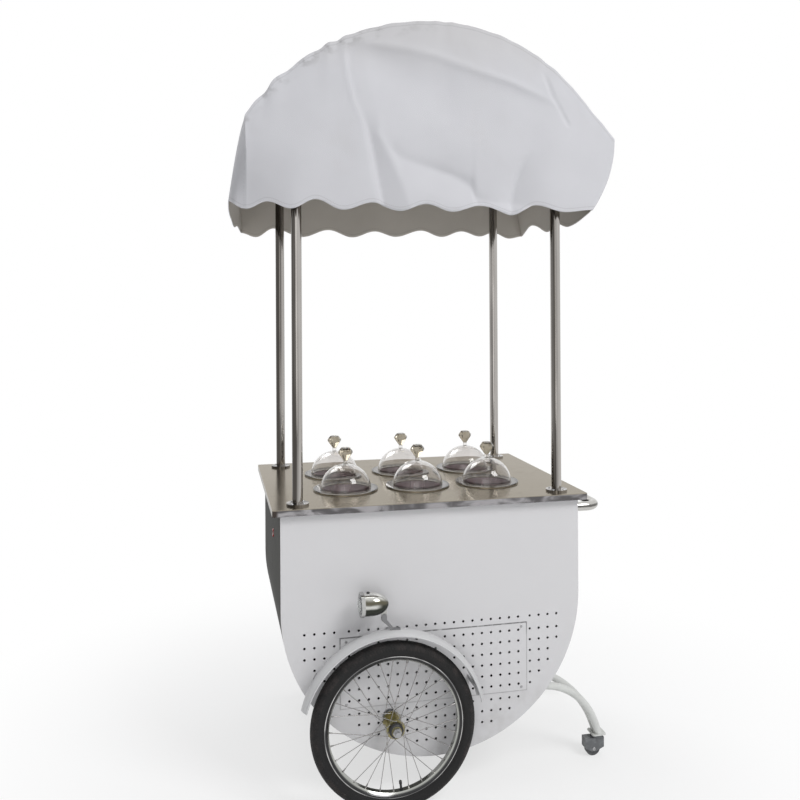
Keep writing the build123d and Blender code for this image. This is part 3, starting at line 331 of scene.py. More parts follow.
def post_tube():
    """Polished tube with painted reflections: a dark and a bright stripe along each side, each post painted to
    its own level, broken by finer drawn streaks.
    """
    f = Finish("post_steel", {"Metallic": 1.0})
    x, y = f.along(0), f.along(1)
    end, row = f.maths("SIGN", x), f.maths("SIGN", y)
    x, y = x - POST_X * end, y - POST_Y * row
    # Painted reflections: each post gets its own brightness, and dark and bright stripes turn with its sides
    painted_post_level = 0.22 * (1 + end * row) + 0.40 * end
    reflection_band = -2.0 * x * y / (x * x + y * y + 1e-7)
    drift = f.noise((0.05, 0.05, 0.5), 2.0)
    reflection_streak = f.noise((0.005, 0.005, 2.0), 2.0, 0.5, 0.3)
    fine = f.noise((0.003, 0.003, 0.3), 2.0)
    tarnish = f.noise((0.02, 0.02, 0.12), 4.0)
    level = f.step(reflection_band + painted_post_level + 1.6 * (drift - 0.5) + 2.2 * (reflection_streak - 0.5), -0.75, 0.85)
    base = f.mix(level, (0.060, 0.055, 0.050), (0.46, 0.44, 0.42))
    f.feed(Base_Color=f.mix(tarnish * 0.25, base, (0.15, 0.135, 0.12)), Roughness=0.05 + 0.08 * fine)
    return f.drawn(fine)


def handle_tube():
    """Polished handle tube: bright, with a dark painted reflection along its upper half, and hand smears."""
    f = Finish("handle_steel", {"Metallic": 1.0})
    fine = f.noise((0.006, 0.4, 0.006), 2.0)
    # Painted reflection: a dark line along the tube's upper half
    off = abs(f.along(2, (0, 0, HANDLE_Z + 0.003))) + 0.004 * (fine - 0.5)
    bright = f.mix(fine, (0.62, 0.61, 0.58), (0.44, 0.43, 0.41))
    f.feed(Base_Color=f.mix(0.85 * f.step(off, 0.0055, 0.0020), bright, (0.075, 0.072, 0.068)))
    return f.feed(Roughness=0.10 + 0.08 * fine + 0.08 * f.smears()).drawn(fine)


def rim_plate():
    """Plated rim with painted reflections: a bright painted highlight on the rolled edge, dimmed in stretches,
    a near-black side wall and a paler inside, with dull pits.
    """
    f = Finish("rim_chrome", {"Metallic": 1.0})
    radius = f.axle_place()[2]
    pits, haze = f.plating()
    # Painted light: a paler inside, a near-black side wall and a bright rolled edge, as lit and mirrored
    # surroundings
    inside = f.mix(haze, (0.50, 0.50, 0.47), (0.30, 0.31, 0.29))
    wall = f.mix(haze, (0.030, 0.030, 0.031), (0.065, 0.065, 0.066))
    # Painted highlight on the rolled edge, dimmed in random stretches
    dull = f.step(f.noise(0.10, 2.0), 0.36, 0.56)
    edge = f.mix(dull, (0.62, 0.61, 0.60), (0.20, 0.20, 0.20))
    base = f.mix(f.step(radius, RIM_INNER, RIM_WALL), inside, wall)
    base = f.mix(f.step(radius, RIM_EDGE, RIM_EDGE + 0.0012), base, edge)
    f.feed(Base_Color=base, Roughness=0.12 + 0.10 * haze + 0.2 * pits)
    return f.feed(Normal=f.bump(pits, 0.0002, 0.2))


def plated(name, light, shade, gloss):
    """Bright plating with a few dull pits and fingerprints."""
    f = Finish(name, {"Metallic": 1.0})
    pits, haze = f.plating()
    f.feed(Base_Color=f.mix(haze * 0.6 + pits * 0.4, light, shade), Roughness=gloss + 0.08 * haze + 0.25 * pits)
    return f.feed(Normal=f.bump(pits, 0.0002, 0.2))


def lamp_plate():
    """Lamp chrome with painted reflections: bright and dark bands run along the shell, a bright stripe crosses
    its middle, the bottom is lighter, and the bezel is bright.
    """
    f = Finish("lamp_chrome", {"Metallic": 1.0})
    x, y = f.along(0, (LAMP_FRONT, 0, 0)), abs(f.along(1)) - WHEEL.y
    z = f.along(2, (0, 0, LAMP_Z))
    haze = f.noise(0.02, 3.0, 0.5, 0.8)
    # Painted reflections: bands set by height round the shell stand in for mirrored surroundings
    level = z / (y * y + z * z + 1e-6) ** 0.5 + 0.16 * (haze - 0.5)
    dark_reflection = f.mix(f.step(level, -0.05, 0.35), (0.040, 0.043, 0.036), (0.125, 0.117, 0.085))
    reflection_streak = f.step(abs(level - 0.04), 0.26, 0.03) * f.step(x, 0.066, 0.040)
    top = f.step(level, 0.42, 0.86)
    base = f.mix(0.9 * reflection_streak, f.mix(top, dark_reflection, (0.72, 0.72, 0.69)), (0.66, 0.66, 0.63))
    base = f.mix(f.step(level, -0.78, -0.95), base, (0.40, 0.40, 0.385))
    bezel = f.mix(haze, (0.58, 0.58, 0.57), (0.36, 0.36, 0.35))
    base = f.mix(f.step(x, 0.013, 0.010), base, bezel)
    return f.feed(Base_Color=base, Roughness=0.06 + 0.08 * haze)


def zinc_yellow():
    """Yellow passivated zinc with rainbow clouding, as on wheel hubs."""
    f = Finish("zinc_yellow_plate", {"Metallic": 1.0})
    cloud = f.noise(0.010, 4.0, 0.6, 1.5)
    green = f.step(f.noise(0.016, 2.0), 0.45, 0.7)
    gold = f.mix(cloud, (0.40, 0.36, 0.19), (0.12, 0.10, 0.05))
    f.feed(Base_Color=f.mix(green * 0.5, gold, (0.24, 0.26, 0.13)), Roughness=0.22 + 0.2 * cloud)
    return f.feed(Normal=f.bump(cloud, 0.0003, 0.15))


def galvanised():
    """Zinc-coated bar with spangle."""
    f = Finish("galvanised_bar", {"Metallic": 1.0})
    spangle = f.flakes(0.012)
    f.feed(Base_Color=f.mix(spangle, (0.60, 0.61, 0.62), (0.44, 0.45, 0.46)), Roughness=0.38 + 0.2 * spangle)
    return f.feed(Normal=f.bump(f.noise(0.004), 0.0004, 0.2))


def moulded(name, light, shade, gloss, texture=0.0012):
    """Moulded plastic or rubber with a fine spark-eroded texture and rubbed patches."""
    f = Finish(name, {"Specular IOR Level": 0.4})
    rubbed = f.step(f.noise(0.02, 4.0), 0.4, 0.7)
    grain = f.noise(texture, 2.0)
    f.feed(Base_Color=f.mix(rubbed, shade, light), Roughness=gloss + 0.15 * grain - 0.08 * rubbed)
    return f.feed(Normal=f.bump(grain, 0.0004, 0.4))


def tyre_rubber():
    """Charcoal tyre: small tread blocks on the crown, plain shoulder, fine rings towards the rim."""
    f = Finish("tyre_rubber", {"Specular IOR Level": 0.25})
    across = abs(abs(f.along(1)) - WHEEL.y)
    x, z, radius = f.axle_place()
    turn = f.maths("ARCTAN2", z, x)
    crown = f.step(radius, 0.228, 0.235)
    blocks = f.step(f.sine(turn * 168.0 + across * 420.0), -0.35, 0.1)
    ribs = f.step(f.sine(across * 900.0), -0.5, 0.0)
    rings = f.sine(radius * 2600.0) * f.step(radius, 0.224, 0.218)
    tread = blocks * ribs
    dust = f.step(f.noise(0.03, 5.0), 0.40, 0.75) * crown
    worn = f.noise(0.05, 3.0)
    black = f.mix(worn, (0.010, 0.010, 0.0105), (0.017, 0.0165, 0.0165))
    base = f.mix(crown * (1.0 - tread) * 0.6, black, (0.010, 0.010, 0.010))
    f.feed(Base_Color=f.mix(dust * 0.5, base, (0.055, 0.044, 0.042)), Roughness=0.58 + 0.2 * worn)
    return f.feed(Normal=f.bump(crown * tread + 0.15 * rings + 0.1 * f.noise(0.002), 0.0022, 0.8))


def clear_acrylic():
    """Smoky clear acrylic with smears and hair scratches, an amber knob, and lamp light let through."""
    plain = {"Transmission Weight": 1.0, "IOR": 1.40, "Specular IOR Level": 0.3}
    f = Finish("clear_acrylic_dome", plain)
    smear = f.step(f.noise(0.03, 5.0, 0.6, 1.5), 0.55, 0.8)
    scratch = f.step(f.noise((0.002, 0.05, 0.05), 2.0), 0.7, 0.8)
    dome = f.mix(smear, (0.84, 0.825, 0.81), (0.77, 0.755, 0.74))
    dome = f.mix(f.step(f.along(2), LID_FLANGE_Z + 0.004, LID_FLANGE_Z), dome, (0.45, 0.435, 0.405))
    knob = f.step(f.along(2), KNOB_Z - 0.002, KNOB_Z + 0.002)
    f.feed(Base_Color=f.mix(knob, dome, (0.33, 0.295, 0.23)), Roughness=0.008 + 0.03 * smear + 0.03 * scratch)
    film = f.node("ShaderNodeBsdfTransparent", None, {"Color": (0.86, 0.83, 0.82, 1.0)})
    return f.overlay(f.node("ShaderNodeLightPath", output="Is Shadow Ray"), film)


def lamp_glass():
    """Pressed lamp glass with upright flutes."""
    f = Finish("fluted_lamp_glass", {"Transmission Weight": 1.0, "IOR": 1.5})
    flutes = f.sine(f.along(1) * 1400.0)
    dust = f.noise(0.01, 4.0)
    f.feed(Base_Color=f.mix(dust, (0.97, 0.98, 0.98), (0.88, 0.90, 0.90)), Roughness=0.03 + 0.06 * dust)
    return f.feed(Normal=f.bump(flutes, 0.0006, 0.6))


def foam_skin():
    """White tank liner with a faint pebbled skin."""
    f = Finish("tank_liner", {"Specular IOR Level": 0.3})
    cloud = f.noise(0.1)
    f.feed(Base_Color=f.mix(cloud, (0.62, 0.63, 0.64), (0.54, 0.55, 0.56)), Roughness=0.5 + 0.2 * cloud)
    return f.feed(Normal=f.bump(f.noise(0.004), 0.0008, 0.4))


def canvas(name, light, shade, soil_and_shade):
    """Woven canvas: slubs, light soiling, stitched and bound hem, painted shade towards the top, and painted
    shade in the puckers along the near seam.
    """
    f = Finish(name, {"Sheen Weight": 0.15, "Sheen Roughness": 0.5, "Specular IOR Level": 0.2})
    threads = f.node("ShaderNodeUVMap", {"uv_map": "cloth"})
    u, v = [f.node("ShaderNodeSeparateXYZ", None, {0: threads}, axis) for axis in (0, 1)]
    hem = f.node("ShaderNodeAttribute", {"attribute_name": "hem"}, output="Fac")
    seam = f.node("ShaderNodeAttribute", {"attribute_name": "seam"}, output="Fac")
    weave = f.sine(u * 4200.0) * f.sine(v * 4200.0)
    slub = f.noise((0.004, 0.09, 0.004), 2.0) + f.noise((0.09, 0.004, 0.004), 2.0)
    cloud = f.noise(0.16, 4.0, 0.6, 0.4)
    soil = f.step(f.noise(0.28, 5.0, 0.6, 0.8), 0.55, 0.8)
    dash = f.step(f.sine((u + v) * 1500.0), -0.5, 0.0)
    row = f.step(abs(hem - 0.011), 0.0022, 0.0010) + f.step(abs(seam - 0.010), 0.0022, 0.0010)
    stitch = row * dash
    bound = f.step(hem, 0.0045, 0.0030)
    # Painted shade: dark patches in the puckers along the near arch seam, towards the front
    pucker_shade = f.step(seam, 0.050, 0.012) * f.step(f.noise((0.045, 0.045, 0.030), 3.0), 0.47, 0.66)
    pucker_shade = pucker_shade * f.step(f.along(0), 0.10, -0.30) * f.step(f.along(2), 2.015, 2.035)
    pucker_shade = pucker_shade * f.step(f.along(1), 0.1, -0.1)
    cloth = f.mix(cloud, light, shade)
    # Random soiling, plus painted shade darkening the canvas towards the top
    cloth = f.mix(soil * 0.3 + 0.55 * f.step(f.along(2), 2.16, 2.33), cloth, soil_and_shade)
    cloth = f.mix(stitch * 0.35 + pucker_shade * 0.45, cloth, tuple(0.5 * c for c in soil_and_shade))
    cloth = f.mix(bound * 0.6, cloth, tuple(min(1.15 * c, 0.8) for c in light))
    f.feed(Base_Color=cloth, Roughness=0.78 + 0.1 * cloud)
    return f.feed(Normal=f.bump(0.5 * weave + 0.35 * slub - 1.5 * stitch, 0.0006, 0.35))


def dress(finish, *nodes):
    """Gives a finish to solids of the frame."""
    for name in nodes:
        for entry in frame["nodes"][name].material_slots:
            entry.material = finish.material


def placed(shape, name, finish):
    """Turns a bmesh into a named object with a finish."""
    mesh = bpy.data.meshes.new(name)
    shape.to_mesh(mesh)
    shape.free()
    mesh.materials.append(finish.material)
    made = bpy.data.objects.new(name, mesh)
    bpy.context.scene.collection.objects.link(made)
    return made


def piece(shape, name, body, finish, crease=34.0):
    """Turns a bmesh into a smooth, named piece that rides on a body."""
    made = placed(shape, name, finish)
    made.data.polygons.foreach_set("use_smooth", [True] * len(made.data.polygons))
    made.data.set_sharp_from_angle(angle=radians(crease))
    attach(made, body)
    return made


def join(shape, part):
    """Adds a finished part to a shape."""
    held = bpy.data.meshes.new("held_part")
    part.to_mesh(held)
    part.free()
    shape.from_mesh(held)
    bpy.data.meshes.remove(held)


def turned(shape, profile, at, axis, steps):
    """Spins a profile of (radius, distance along the axis) pairs into a closed turned form."""
    axis = Vector(axis).normalized()
    out = axis.orthogonal().normalized()
    line = [shape.verts.new(Vector(at) + out * r + axis * h) for r, h in profile]
    edges = [shape.edges.new(pair) for pair in zip(line, line[1:])]
    bmesh.ops.spin(shape, geom=line + edges, cent=at, axis=axis, angle=2 * pi, steps=steps, use_merge=True)
    bmesh.ops.remove_doubles(shape, verts=shape.verts, dist=1e-6)
    bmesh.ops.recalc_face_normals(shape, faces=shape.faces)


def aimed(at, axis):
    """Seat of a shape whose own axis is upright, at a point and turned along an axis."""
    return Matrix.Translation(at) @ axis.to_track_quat("Z", "Y").to_matrix().to_4x4()


def screw_head(shape, at, axis, radius, height):
    """Adds a rounded screw head with a round driver socket."""
    head = bmesh.new()
    bmesh.ops.create_cone(head, cap_ends=True, segments=18, radius1=radius, radius2=radius * 0.86, depth=height)
    rim = [e for e in head.edges if all(v.co.z > 0 for v in e.verts)]
    bmesh.ops.bevel(head, geom=rim, offset=height * 0.4, affect="EDGES", segments=2, profile=0.5, material=-1)
    top = max(head.faces, key=lambda face: face.calc_center_median().z)
    bmesh.ops.inset_region(head, faces=[top], thickness=radius * 0.38)
    drop = bmesh.ops.extrude_face_region(head, geom=[top])
    sunk = [v for v in drop["geom"] if isinstance(v, bmesh.types.BMVert)]
    bmesh.ops.translate(head, verts=sunk, vec=(0, 0, -height * 0.55))
    bmesh.ops.delete(head, geom=[top], context="FACES")
    bmesh.ops.transform(head, matrix=aimed(at + axis * height / 2, axis), verts=head.verts)
    bmesh.ops.recalc_face_normals(head, faces=head.faces)
    join(shape, head)


def between(points, x):
    """Value of a broken line at x."""
    if x <= points[0][0]:
        return points[0][1]
    for (x0, y0), (x1, y1) in zip(points, points[1:]):
        if x <= x1:
            return y0 + (y1 - y0) * (x - x0) / (x1 - x0)
    return points[-1][1]


def waved(points, x):
    """Value at x of a wave that levels out at each of its points."""
    for (x0, y0), (x1, y1) in zip(points, points[1:]):
        if x <= x1:
            share = min(max((x - x0) / (x1 - x0), 0.0), 1.0)
            return y0 + (y1 - y0) * (1 - cos(pi * share)) / 2
    return points[-1][1]


def soft(low, high, x):
    """Soft step from 0 at low to 1 at high."""
    share = min(max((x - low) / (high - low), 0.0), 1.0)
    return share * share * (3 - 2 * share)


def line_distance(points, x, z):
    """Distance from a point to a broken line."""
    here = Vector((x, z))
    best = 9.0
    for a, b in zip(points, points[1:]):
        a, b = Vector(a), Vector(b)
        share = min(max((here - a).dot(b - a) / (b - a).length_squared, 0.0), 1.0)
        best = min(best, (here - a.lerp(b, share)).length)
    return best


# Outer line of the canopy's canvas, in metres. Where there are two values, -1 is the front or near one, 1 the
# rear or far one.
FRONT, REAR, HALF = -0.577, 0.563, 0.450
TOP = 2.352
EAVES = {-1: 2.050, 1: 2.020}
HAUNCH = radians(48.0)
FRONT_R = (FRONT ** 2 + (TOP - EAVES[-1]) ** 2) / (2 * (TOP - EAVES[-1]))
REAR_R = (REAR * tan(HAUNCH) - (TOP - EAVES[1])) / (1 / cos(HAUNCH) - 1)
BARS = ((-0.548, -2), (-0.3235, -1), (0.0, 0), (0.3235, 1), (0.548, 2))
ARCH_STEPS, DROP_STEPS, WIDTH_STEPS = 190, 70, 44
ARCH_START, ARCH_END = -1.05, 1.01
SEAM_SPREAD, SEAM_LEAN, SEAM_CENTRE = 0.9, 0.6, 1.75
FRONT_BELLY, BELLY_PEAK = 0.0515, 0.13
CORNER_TUCK = 0.040
CANVAS_THICKNESS = 0.0018
ARCH_STRETCH, ROOF_THREADS, CLEAR_OF_HEM = 1.3, 0.75, 0.3

# Hem: its height on each side, where it ends at the front and at the rear, and its scallops. The scallops are
# (x, z) on the sides and (y, z) at the ends, and meet at the corners.
HEM_Z = {-1: 1.797, 1: 1.784}
HEM_FRONT = {-1: -0.573, 1: -0.557}
HEM_REAR = {-1: 0.489, 1: 0.590}
NEAR_FRONT_HEM, NEAR_REAR_HEM, FAR_FRONT_HEM, FAR_REAR_HEM = 1.786, 1.797, 1.784, 1.783
NEAR_HEM = (
    (-0.573, NEAR_FRONT_HEM), (-0.515, 1.806), (-0.448, 1.785), (-0.376, 1.813), (-0.296, 1.784),
    (-0.207, 1.807), (-0.124, 1.784), (-0.044, 1.806), (0.036, 1.784), (0.127, 1.805), (0.227, 1.778),
    (0.303, 1.809), (0.397, 1.789), (0.489, NEAR_REAR_HEM),
)
FAR_HEM = (
    (-0.557, FAR_FRONT_HEM), (-0.500, 1.769), (-0.432, 1.803), (-0.322, 1.770), (-0.216, 1.799),
    (-0.121, 1.772), (-0.028, 1.797), (0.056, 1.776), (0.157, 1.801), (0.243, 1.777), (0.331, 1.801),
    (0.410, 1.782), (0.468, 1.798), (0.536, 1.774), (0.590, FAR_REAR_HEM),
)
FRONT_HEM = (
    (-0.450, NEAR_FRONT_HEM), (-0.340, 1.815), (-0.200, 1.800), (-0.040, 1.794), (0.130, 1.780),
    (0.290, 1.795), (0.450, FAR_FRONT_HEM),
)
REAR_HEM = (
    (-0.450, NEAR_REAR_HEM), (-0.170, 1.769), (-0.040, 1.790), (0.085, 1.773), (0.325, 1.817),
    (0.450, FAR_REAR_HEM),
)

# Folds of the near sheet: the upright creases as (z, x), the long folds as (x, z)
FRONT_CREASE = (
    (1.797, -0.184), (1.888, -0.202), (1.965, -0.217), (2.031, -0.233), (2.104, -0.264), (2.166, -0.280),
    (2.212, -0.287), (2.267, -0.291),
)
REAR_CREASE = ((1.785, 0.227), (1.859, 0.236), (1.932, 0.263), (1.974, 0.284))
UPPER_FOLD = (
    (-0.300, 2.280), (-0.184, 2.273), (-0.103, 2.266), (-0.022, 2.251), (0.061, 2.227), (0.145, 2.204),
    (0.230, 2.179), (0.316, 2.147), (0.359, 2.128), (0.430, 2.060),
)
LOWER_FOLD = (
    (-0.214, 1.990), (-0.173, 1.975), (-0.113, 1.945), (-0.056, 1.927), (0.018, 1.905), (0.059, 1.890),
    (0.101, 1.867), (0.117, 1.824), (0.200, 1.812), (0.420, 1.800),
)
SHOULDER_FOLD = ((0.325, 2.229), (0.342, 2.185), (0.359, 2.141), (0.385, 2.101), (0.407, 2.060))

# Size of the wedge behind the front crease by z, and depth of the long folds by x
WEDGE_WIDTH = ((1.797, 0.078), (1.881, 0.064), (1.944, 0.051), (2.013, 0.028), (2.060, 0.050))
WEDGE_DEPTH = ((1.797, 0.020), (1.944, 0.018), (2.020, 0.011), (2.080, 0.003))
UPPER_DEPTH = ((-0.300, 0.008), (-0.150, 0.014), (0.030, 0.016), (0.200, 0.008), (0.370, 0.003))
LOWER_DEPTH = ((-0.18, 0.007), (0.0, 0.014))
SLACK_DEPTH, REAR_DEPTH, SHOULDER_DEPTH, FRONT_BULGE = 0.014, 0.018, 0.0028, 0.007


def arch_z(x):
    """Height of the canvas over the arch."""
    if x < 0:
        return TOP - FRONT_R + sqrt(FRONT_R ** 2 - x * x)
    bend = REAR_R * sin(HAUNCH)
    if x < bend:
        return TOP - REAR_R + sqrt(REAR_R ** 2 - x * x)
    return TOP - REAR_R + REAR_R * cos(HAUNCH) - (x - bend) * tan(HAUNCH)


def arch_x(share):
    """Place along the arch, evened out so that the steep ends get their share of points."""
    low, high = sin(ARCH_START), sin(ARCH_END)
    here = sin(ARCH_START + (ARCH_END - ARCH_START) * share)
    return FRONT + (REAR - FRONT) * (here - low) / (high - low)


def valley(past, before, after):
    """Depth of a sharp fold, 1 on its line: steep on the way in, then a flat face on the way out."""
    return exp(past / before) if past < 0 else max(1 - past / after, 0.0)


def brow(past, run):
    """Depth under an overhanging fold: steepest at its line, easing off over its run, then coming back."""
    share = min(max(past / run, 0.0), 1.0)
    return (1 - (1 - share) ** 2) * (1 - soft(run, run + 0.20, past))


def near_pull(x, z):
    """How far its folds draw the near sheet inwards."""
    past_front, past_rear = x - between(FRONT_CREASE, z), x - between(REAR_CREASE, z)
    upper, lower = between(UPPER_FOLD, x), between(LOWER_FOLD, x)
    # Slack between the long folds
    if z >= upper:
        slack = 0.0
    elif z >= lower:
        slack = ((upper - z) / (upper - lower)) ** 1.15
    else:
        slack = 0.15 + 0.85 * max(z - HEM_Z[-1], 0.0) / (lower - HEM_Z[-1])
    pull = SLACK_DEPTH * soft(0.0, 0.20, past_front) * (1 - soft(0.20, 0.42, x)) * slack
    # Wedge behind the front crease, and the crease's own ridge above it
    into, width = past_front - 0.010, between(WEDGE_WIDTH, z)
    pull += between(WEDGE_DEPTH, z) * valley(into, 0.007, width)
    pull -= 0.0024 * exp(-(past_front / 0.007) ** 2) * soft(1.99, 2.06, z)
    # Upper fold, which hangs over a hollow and has a raised edge
    held = soft(-0.31, -0.18, x) * (1 - soft(0.26, 0.42, x))
    run = 0.034 + 0.058 * exp(-(x / 0.17) ** 2)
    pull += between(UPPER_DEPTH, x) * held * brow(upper - z, run)
    pull -= 0.0025 * held * exp(-((z - upper) / 0.010) ** 2)
    # Lower fold, from the wedge's far edge on
    kept = soft(-0.01, 0.03, into - width) * (1 - soft(0.06, 0.19, x))
    pull += between(LOWER_DEPTH, x) * valley(lower - z, 0.024, 0.085) * kept
    # Rear crease, shoulder fold, the bulge at the front, and slight waves all over
    rear = valley(past_rear, 0.018, 0.100) ** (1 if past_rear < 0 else 2)
    pull += REAR_DEPTH * rear * (1 - soft(1.88, 1.985, z))
    pull += SHOULDER_DEPTH * exp(-(line_distance(SHOULDER_FOLD, x, z) / 0.006) ** 2)
    pull -= FRONT_BULGE * exp(-((x + 0.41) / 0.11) ** 2 - ((z - 1.95) / 0.12) ** 2)
    return pull + 0.0012 * sin(31 * x + 17 * z) * sin(23 * z - 11 * x)


def far_pull(x, z):
    """Slack folds of the far sheet."""
    hang = soft(arch_z(x), HEM_Z[1], z)
    return 0.010 * hang * sin(13 * x + 3 * z) + 0.0012 * sin(29 * x - 19 * z)


def gathers(x, reach):
    """Small puckers that the arch seam draws into the canvas, strongest at the front."""
    strength = 0.0014 + 0.0050 * (1 - soft(-0.50, -0.10, x))
    wave = sin(95 * x + 1.3 * sin(21 * x)) * (0.6 + 0.4 * sin(37 * x + 1.0))
    return strength * wave * exp(-reach / 0.040) * soft(0.0, 0.05, min(x - FRONT, REAR - x))


def seam_way(x, side):
    """Way out of the canvas at the arch seam, between the roof's and the gable's."""
    return Vector((x / SEAM_SPREAD, side * SEAM_LEAN, arch_z(x) - SEAM_CENTRE)).normalized()


def drop_shift(share, end):
    """How a skirt moves from the eaves to its hem: early at the front, late at the rear."""
    return share ** (0.65 + 1.45 * end)


def corner_tuck(z):
    """How far the near front corner is drawn in below the rail."""
    return CORNER_TUCK * (1 - soft(1.80, 1.985, z))


def gable_point(side, across, drop):
    """Point of a gable sheet and its distances from the arch seam and from the hem."""
    x0 = arch_x(across)
    z0 = arch_z(x0)
    end = (x0 - FRONT) / (REAR - FRONT)
    x1 = HEM_FRONT[side] + (HEM_REAR[side] - HEM_FRONT[side]) * end
    x = x0 + (x1 - x0) * drop_shift(drop, end)
    low = waved(NEAR_HEM if side < 0 else FAR_HEM, x1)
    z = z0 + (low - z0) * drop
    edge = soft(0.0, 0.05, min(x0 - FRONT, REAR - x0))
    fade = soft(0.026, 0.060, z0 - z)
    pull = (near_pull(x, z) if side < 0 else far_pull(x, z)) * edge * fade
    if side < 0:
        pull += corner_tuck(z) * (1 - soft(-0.06, 0.16, x0 - FRONT)) / (1 - soft(-0.06, 0.16, 0.0))
    at = Vector((x, side * (HALF - pull), z)) - seam_way(x0, side) * gathers(x0, z0 - z)
    return at, z0 - z, z - low


def skirt_point(end, y, drop):
    """Point of an end skirt and its distance from the hem."""
    share = (y + HALF) / (2 * HALF)
    hems = HEM_FRONT if end < 0 else HEM_REAR
    x0 = FRONT if end < 0 else REAR
    x1 = hems[-1] + (hems[1] - hems[-1]) * share
    x = x0 + (x1 - x0) * drop_shift(drop, 0.0 if end < 0 else 1.0)
    low = waved(FRONT_HEM if end < 0 else REAR_HEM, y)
    z = EAVES[end] + (low - EAVES[end]) * drop
    if end < 0:
        past = share - BELLY_PEAK
        belly = sin(pi / 2 * share / BELLY_PEAK) if past < 0 else cos(pi / 2 * past / (1 - BELLY_PEAK))
        x -= FRONT_BELLY * belly * drop ** 0.76
        y += corner_tuck(z) * (1 - soft(0.0, 0.06, y + HALF))
    else:
        window = soft(0.0, 0.06, HALF - abs(y))
        x += (0.012 * sin(pi * share) + 0.006 * sin(3 * pi * share + 0.6)) * drop * window
    return Vector((x, y, z)), z - low


def roof_point(x, y):
    """Point of the canvas over the bars: it dips between them."""
    dip = 0.006 * sin(pi * between(BARS, x)) ** 2 * (1 - (y / HALF) ** 4)
    flat = Vector((x, y, arch_z(x)))
    return flat - seam_way(x, 0) * dip - seam_way(x, 1 if y > 0 else -1) * gathers(x, HALF - abs(y))


def canopy_cloth(finish, underside_shade):
    """One canvas cover: arched top, two gables and the hanging skirt with its scalloped hem."""
    shape = bmesh.new()
    cut = shape.loops.layers.uv.new("cloth")
    hem = shape.verts.layers.float.new("hem")
    seam = shape.verts.layers.float.new("seam")

    def sheet(columns, rows, laid):
        made = bmesh.ops.create_grid(shape, x_segments=columns, y_segments=rows, size=1.0)["verts"]
        threads = {}
        for vert in made:
            column = round((vert.co.x + 1) / 2 * columns)
            row = round((vert.co.y + 1) / 2 * rows)
            vert.co, vert[seam], vert[hem], threads[vert] = laid(column, row)
        for vert in made:
            for loop in vert.link_loops:
                loop[cut].uv = threads[vert]

    def over(column, row):
        y = HALF * (2 * row / WIDTH_STEPS - 1)
        reach = HALF - abs(y)
        if column < DROP_STEPS:
            at, low = skirt_point(-1, y, 1 - column / DROP_STEPS)
            return at, reach, low, (at.z - EAVES[-1] - ROOF_THREADS, y)
        if column > DROP_STEPS + ARCH_STEPS:
            at, low = skirt_point(1, y, (column - DROP_STEPS - ARCH_STEPS) / DROP_STEPS)
            return at, reach, low, (EAVES[1] - at.z + ROOF_THREADS, y)
        x = arch_x((column - DROP_STEPS) / ARCH_STEPS)
        return roof_point(x, y), reach, CLEAR_OF_HEM, (ARCH_STRETCH * x, y)

    def gable(side):
        def laid(column, row):
            at, top, low = gable_point(side, column / ARCH_STEPS, 1 - row / DROP_STEPS)
            return at, top, low, (at.x, at.z)
        return laid

    sheet(2 * DROP_STEPS + ARCH_STEPS, WIDTH_STEPS, over)
    sheet(ARCH_STEPS, DROP_STEPS, gable(-1))
    sheet(ARCH_STEPS, DROP_STEPS, gable(1))
    bmesh.ops.remove_doubles(shape, verts=shape.verts, dist=0.0004)
    bmesh.ops.recalc_face_normals(shape, faces=shape.faces)
    area = sum(face.calc_area() for face in shape.faces)
    cover = piece(shape, "canopy_canvas_cover", "cabinet", finish, crease=70.0)
    wall = cover.modifiers.new("cloth_thickness", "SOLIDIFY")
    wall.thickness = CANVAS_THICKNESS
    wall.offset = -1.0
    # The inner face takes a darker, warmer copy of the canvas as painted shade
    wall.material_offset = 1
    cover.data.materials.append(underside_shade.material)
    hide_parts("canopy_cover")


def lacing(centre):
    """Hub end, rim end and lean of each of a wheel's spokes."""
    for i in range(SPOKES):
        flange = 1 if i % 2 else -1
        lean = 1 if (i // 2) % 2 else -1
        rim_turn = radians(i * 360 / SPOKES)
        hub_turn = rim_turn + radians(lean * SPOKE_LEAN)
        hub = Vector((HUB_HOLES * cos(hub_turn), flange * HUB_FLANGE, HUB_HOLES * sin(hub_turn)))
        rim = Vector((RIM_HOLES * cos(rim_turn), flange * RIM_STAGGER, RIM_HOLES * sin(rim_turn)))
        yield centre + hub, centre + rim, lean


def wheel_fittings(name, side, steel, black):
    """Spoke nipples and heads, tyre valve and the hub's dust caps of one wheel."""
    centre = Vector((WHEEL.x, side * WHEEL.y, WHEEL.z))
    nipples, heads, valve, caps = (bmesh.new() for _ in range(4))
    for hub, rim, lean in lacing(centre):
        along = (hub + Vector((0, lean * 0.0024, 0)) - rim).normalized()
        for radius1, radius2, depth, shift in NIPPLE:
            bmesh.ops.create_cone(
                nipples, cap_ends=True, segments=8, radius1=radius1, radius2=radius2, depth=depth,
                matrix=aimed(rim + along * shift, along),
            )
        seat = Matrix.Translation(hub - Vector((0, lean * 0.0017, 0)))
        bmesh.ops.create_uvsphere(heads, u_segments=8, v_segments=5, radius=0.0022, matrix=seat)
    inward = Vector((-cos(VALVE_TURN), 0, -sin(VALVE_TURN)))
    turned(valve, VALVE, centre - inward * VALVE_FOOT, inward, 16)
    for way in (-1, 1):
        cap = bmesh.new()
        turned(cap, DUST_CAP, centre, (0, way, 0), 40)
        join(caps, cap)
    piece(nipples, f"{name}_spoke_nipples", f"{name}_wheel", steel)
    piece(valve, f"{name}_tyre_valve", f"{name}_wheel", black)
    piece(caps, f"{name}_hub_dust_caps", f"{name}_wheel", black)
    piece(heads, f"{name}_spoke_heads", f"{name}_wheel", steel)


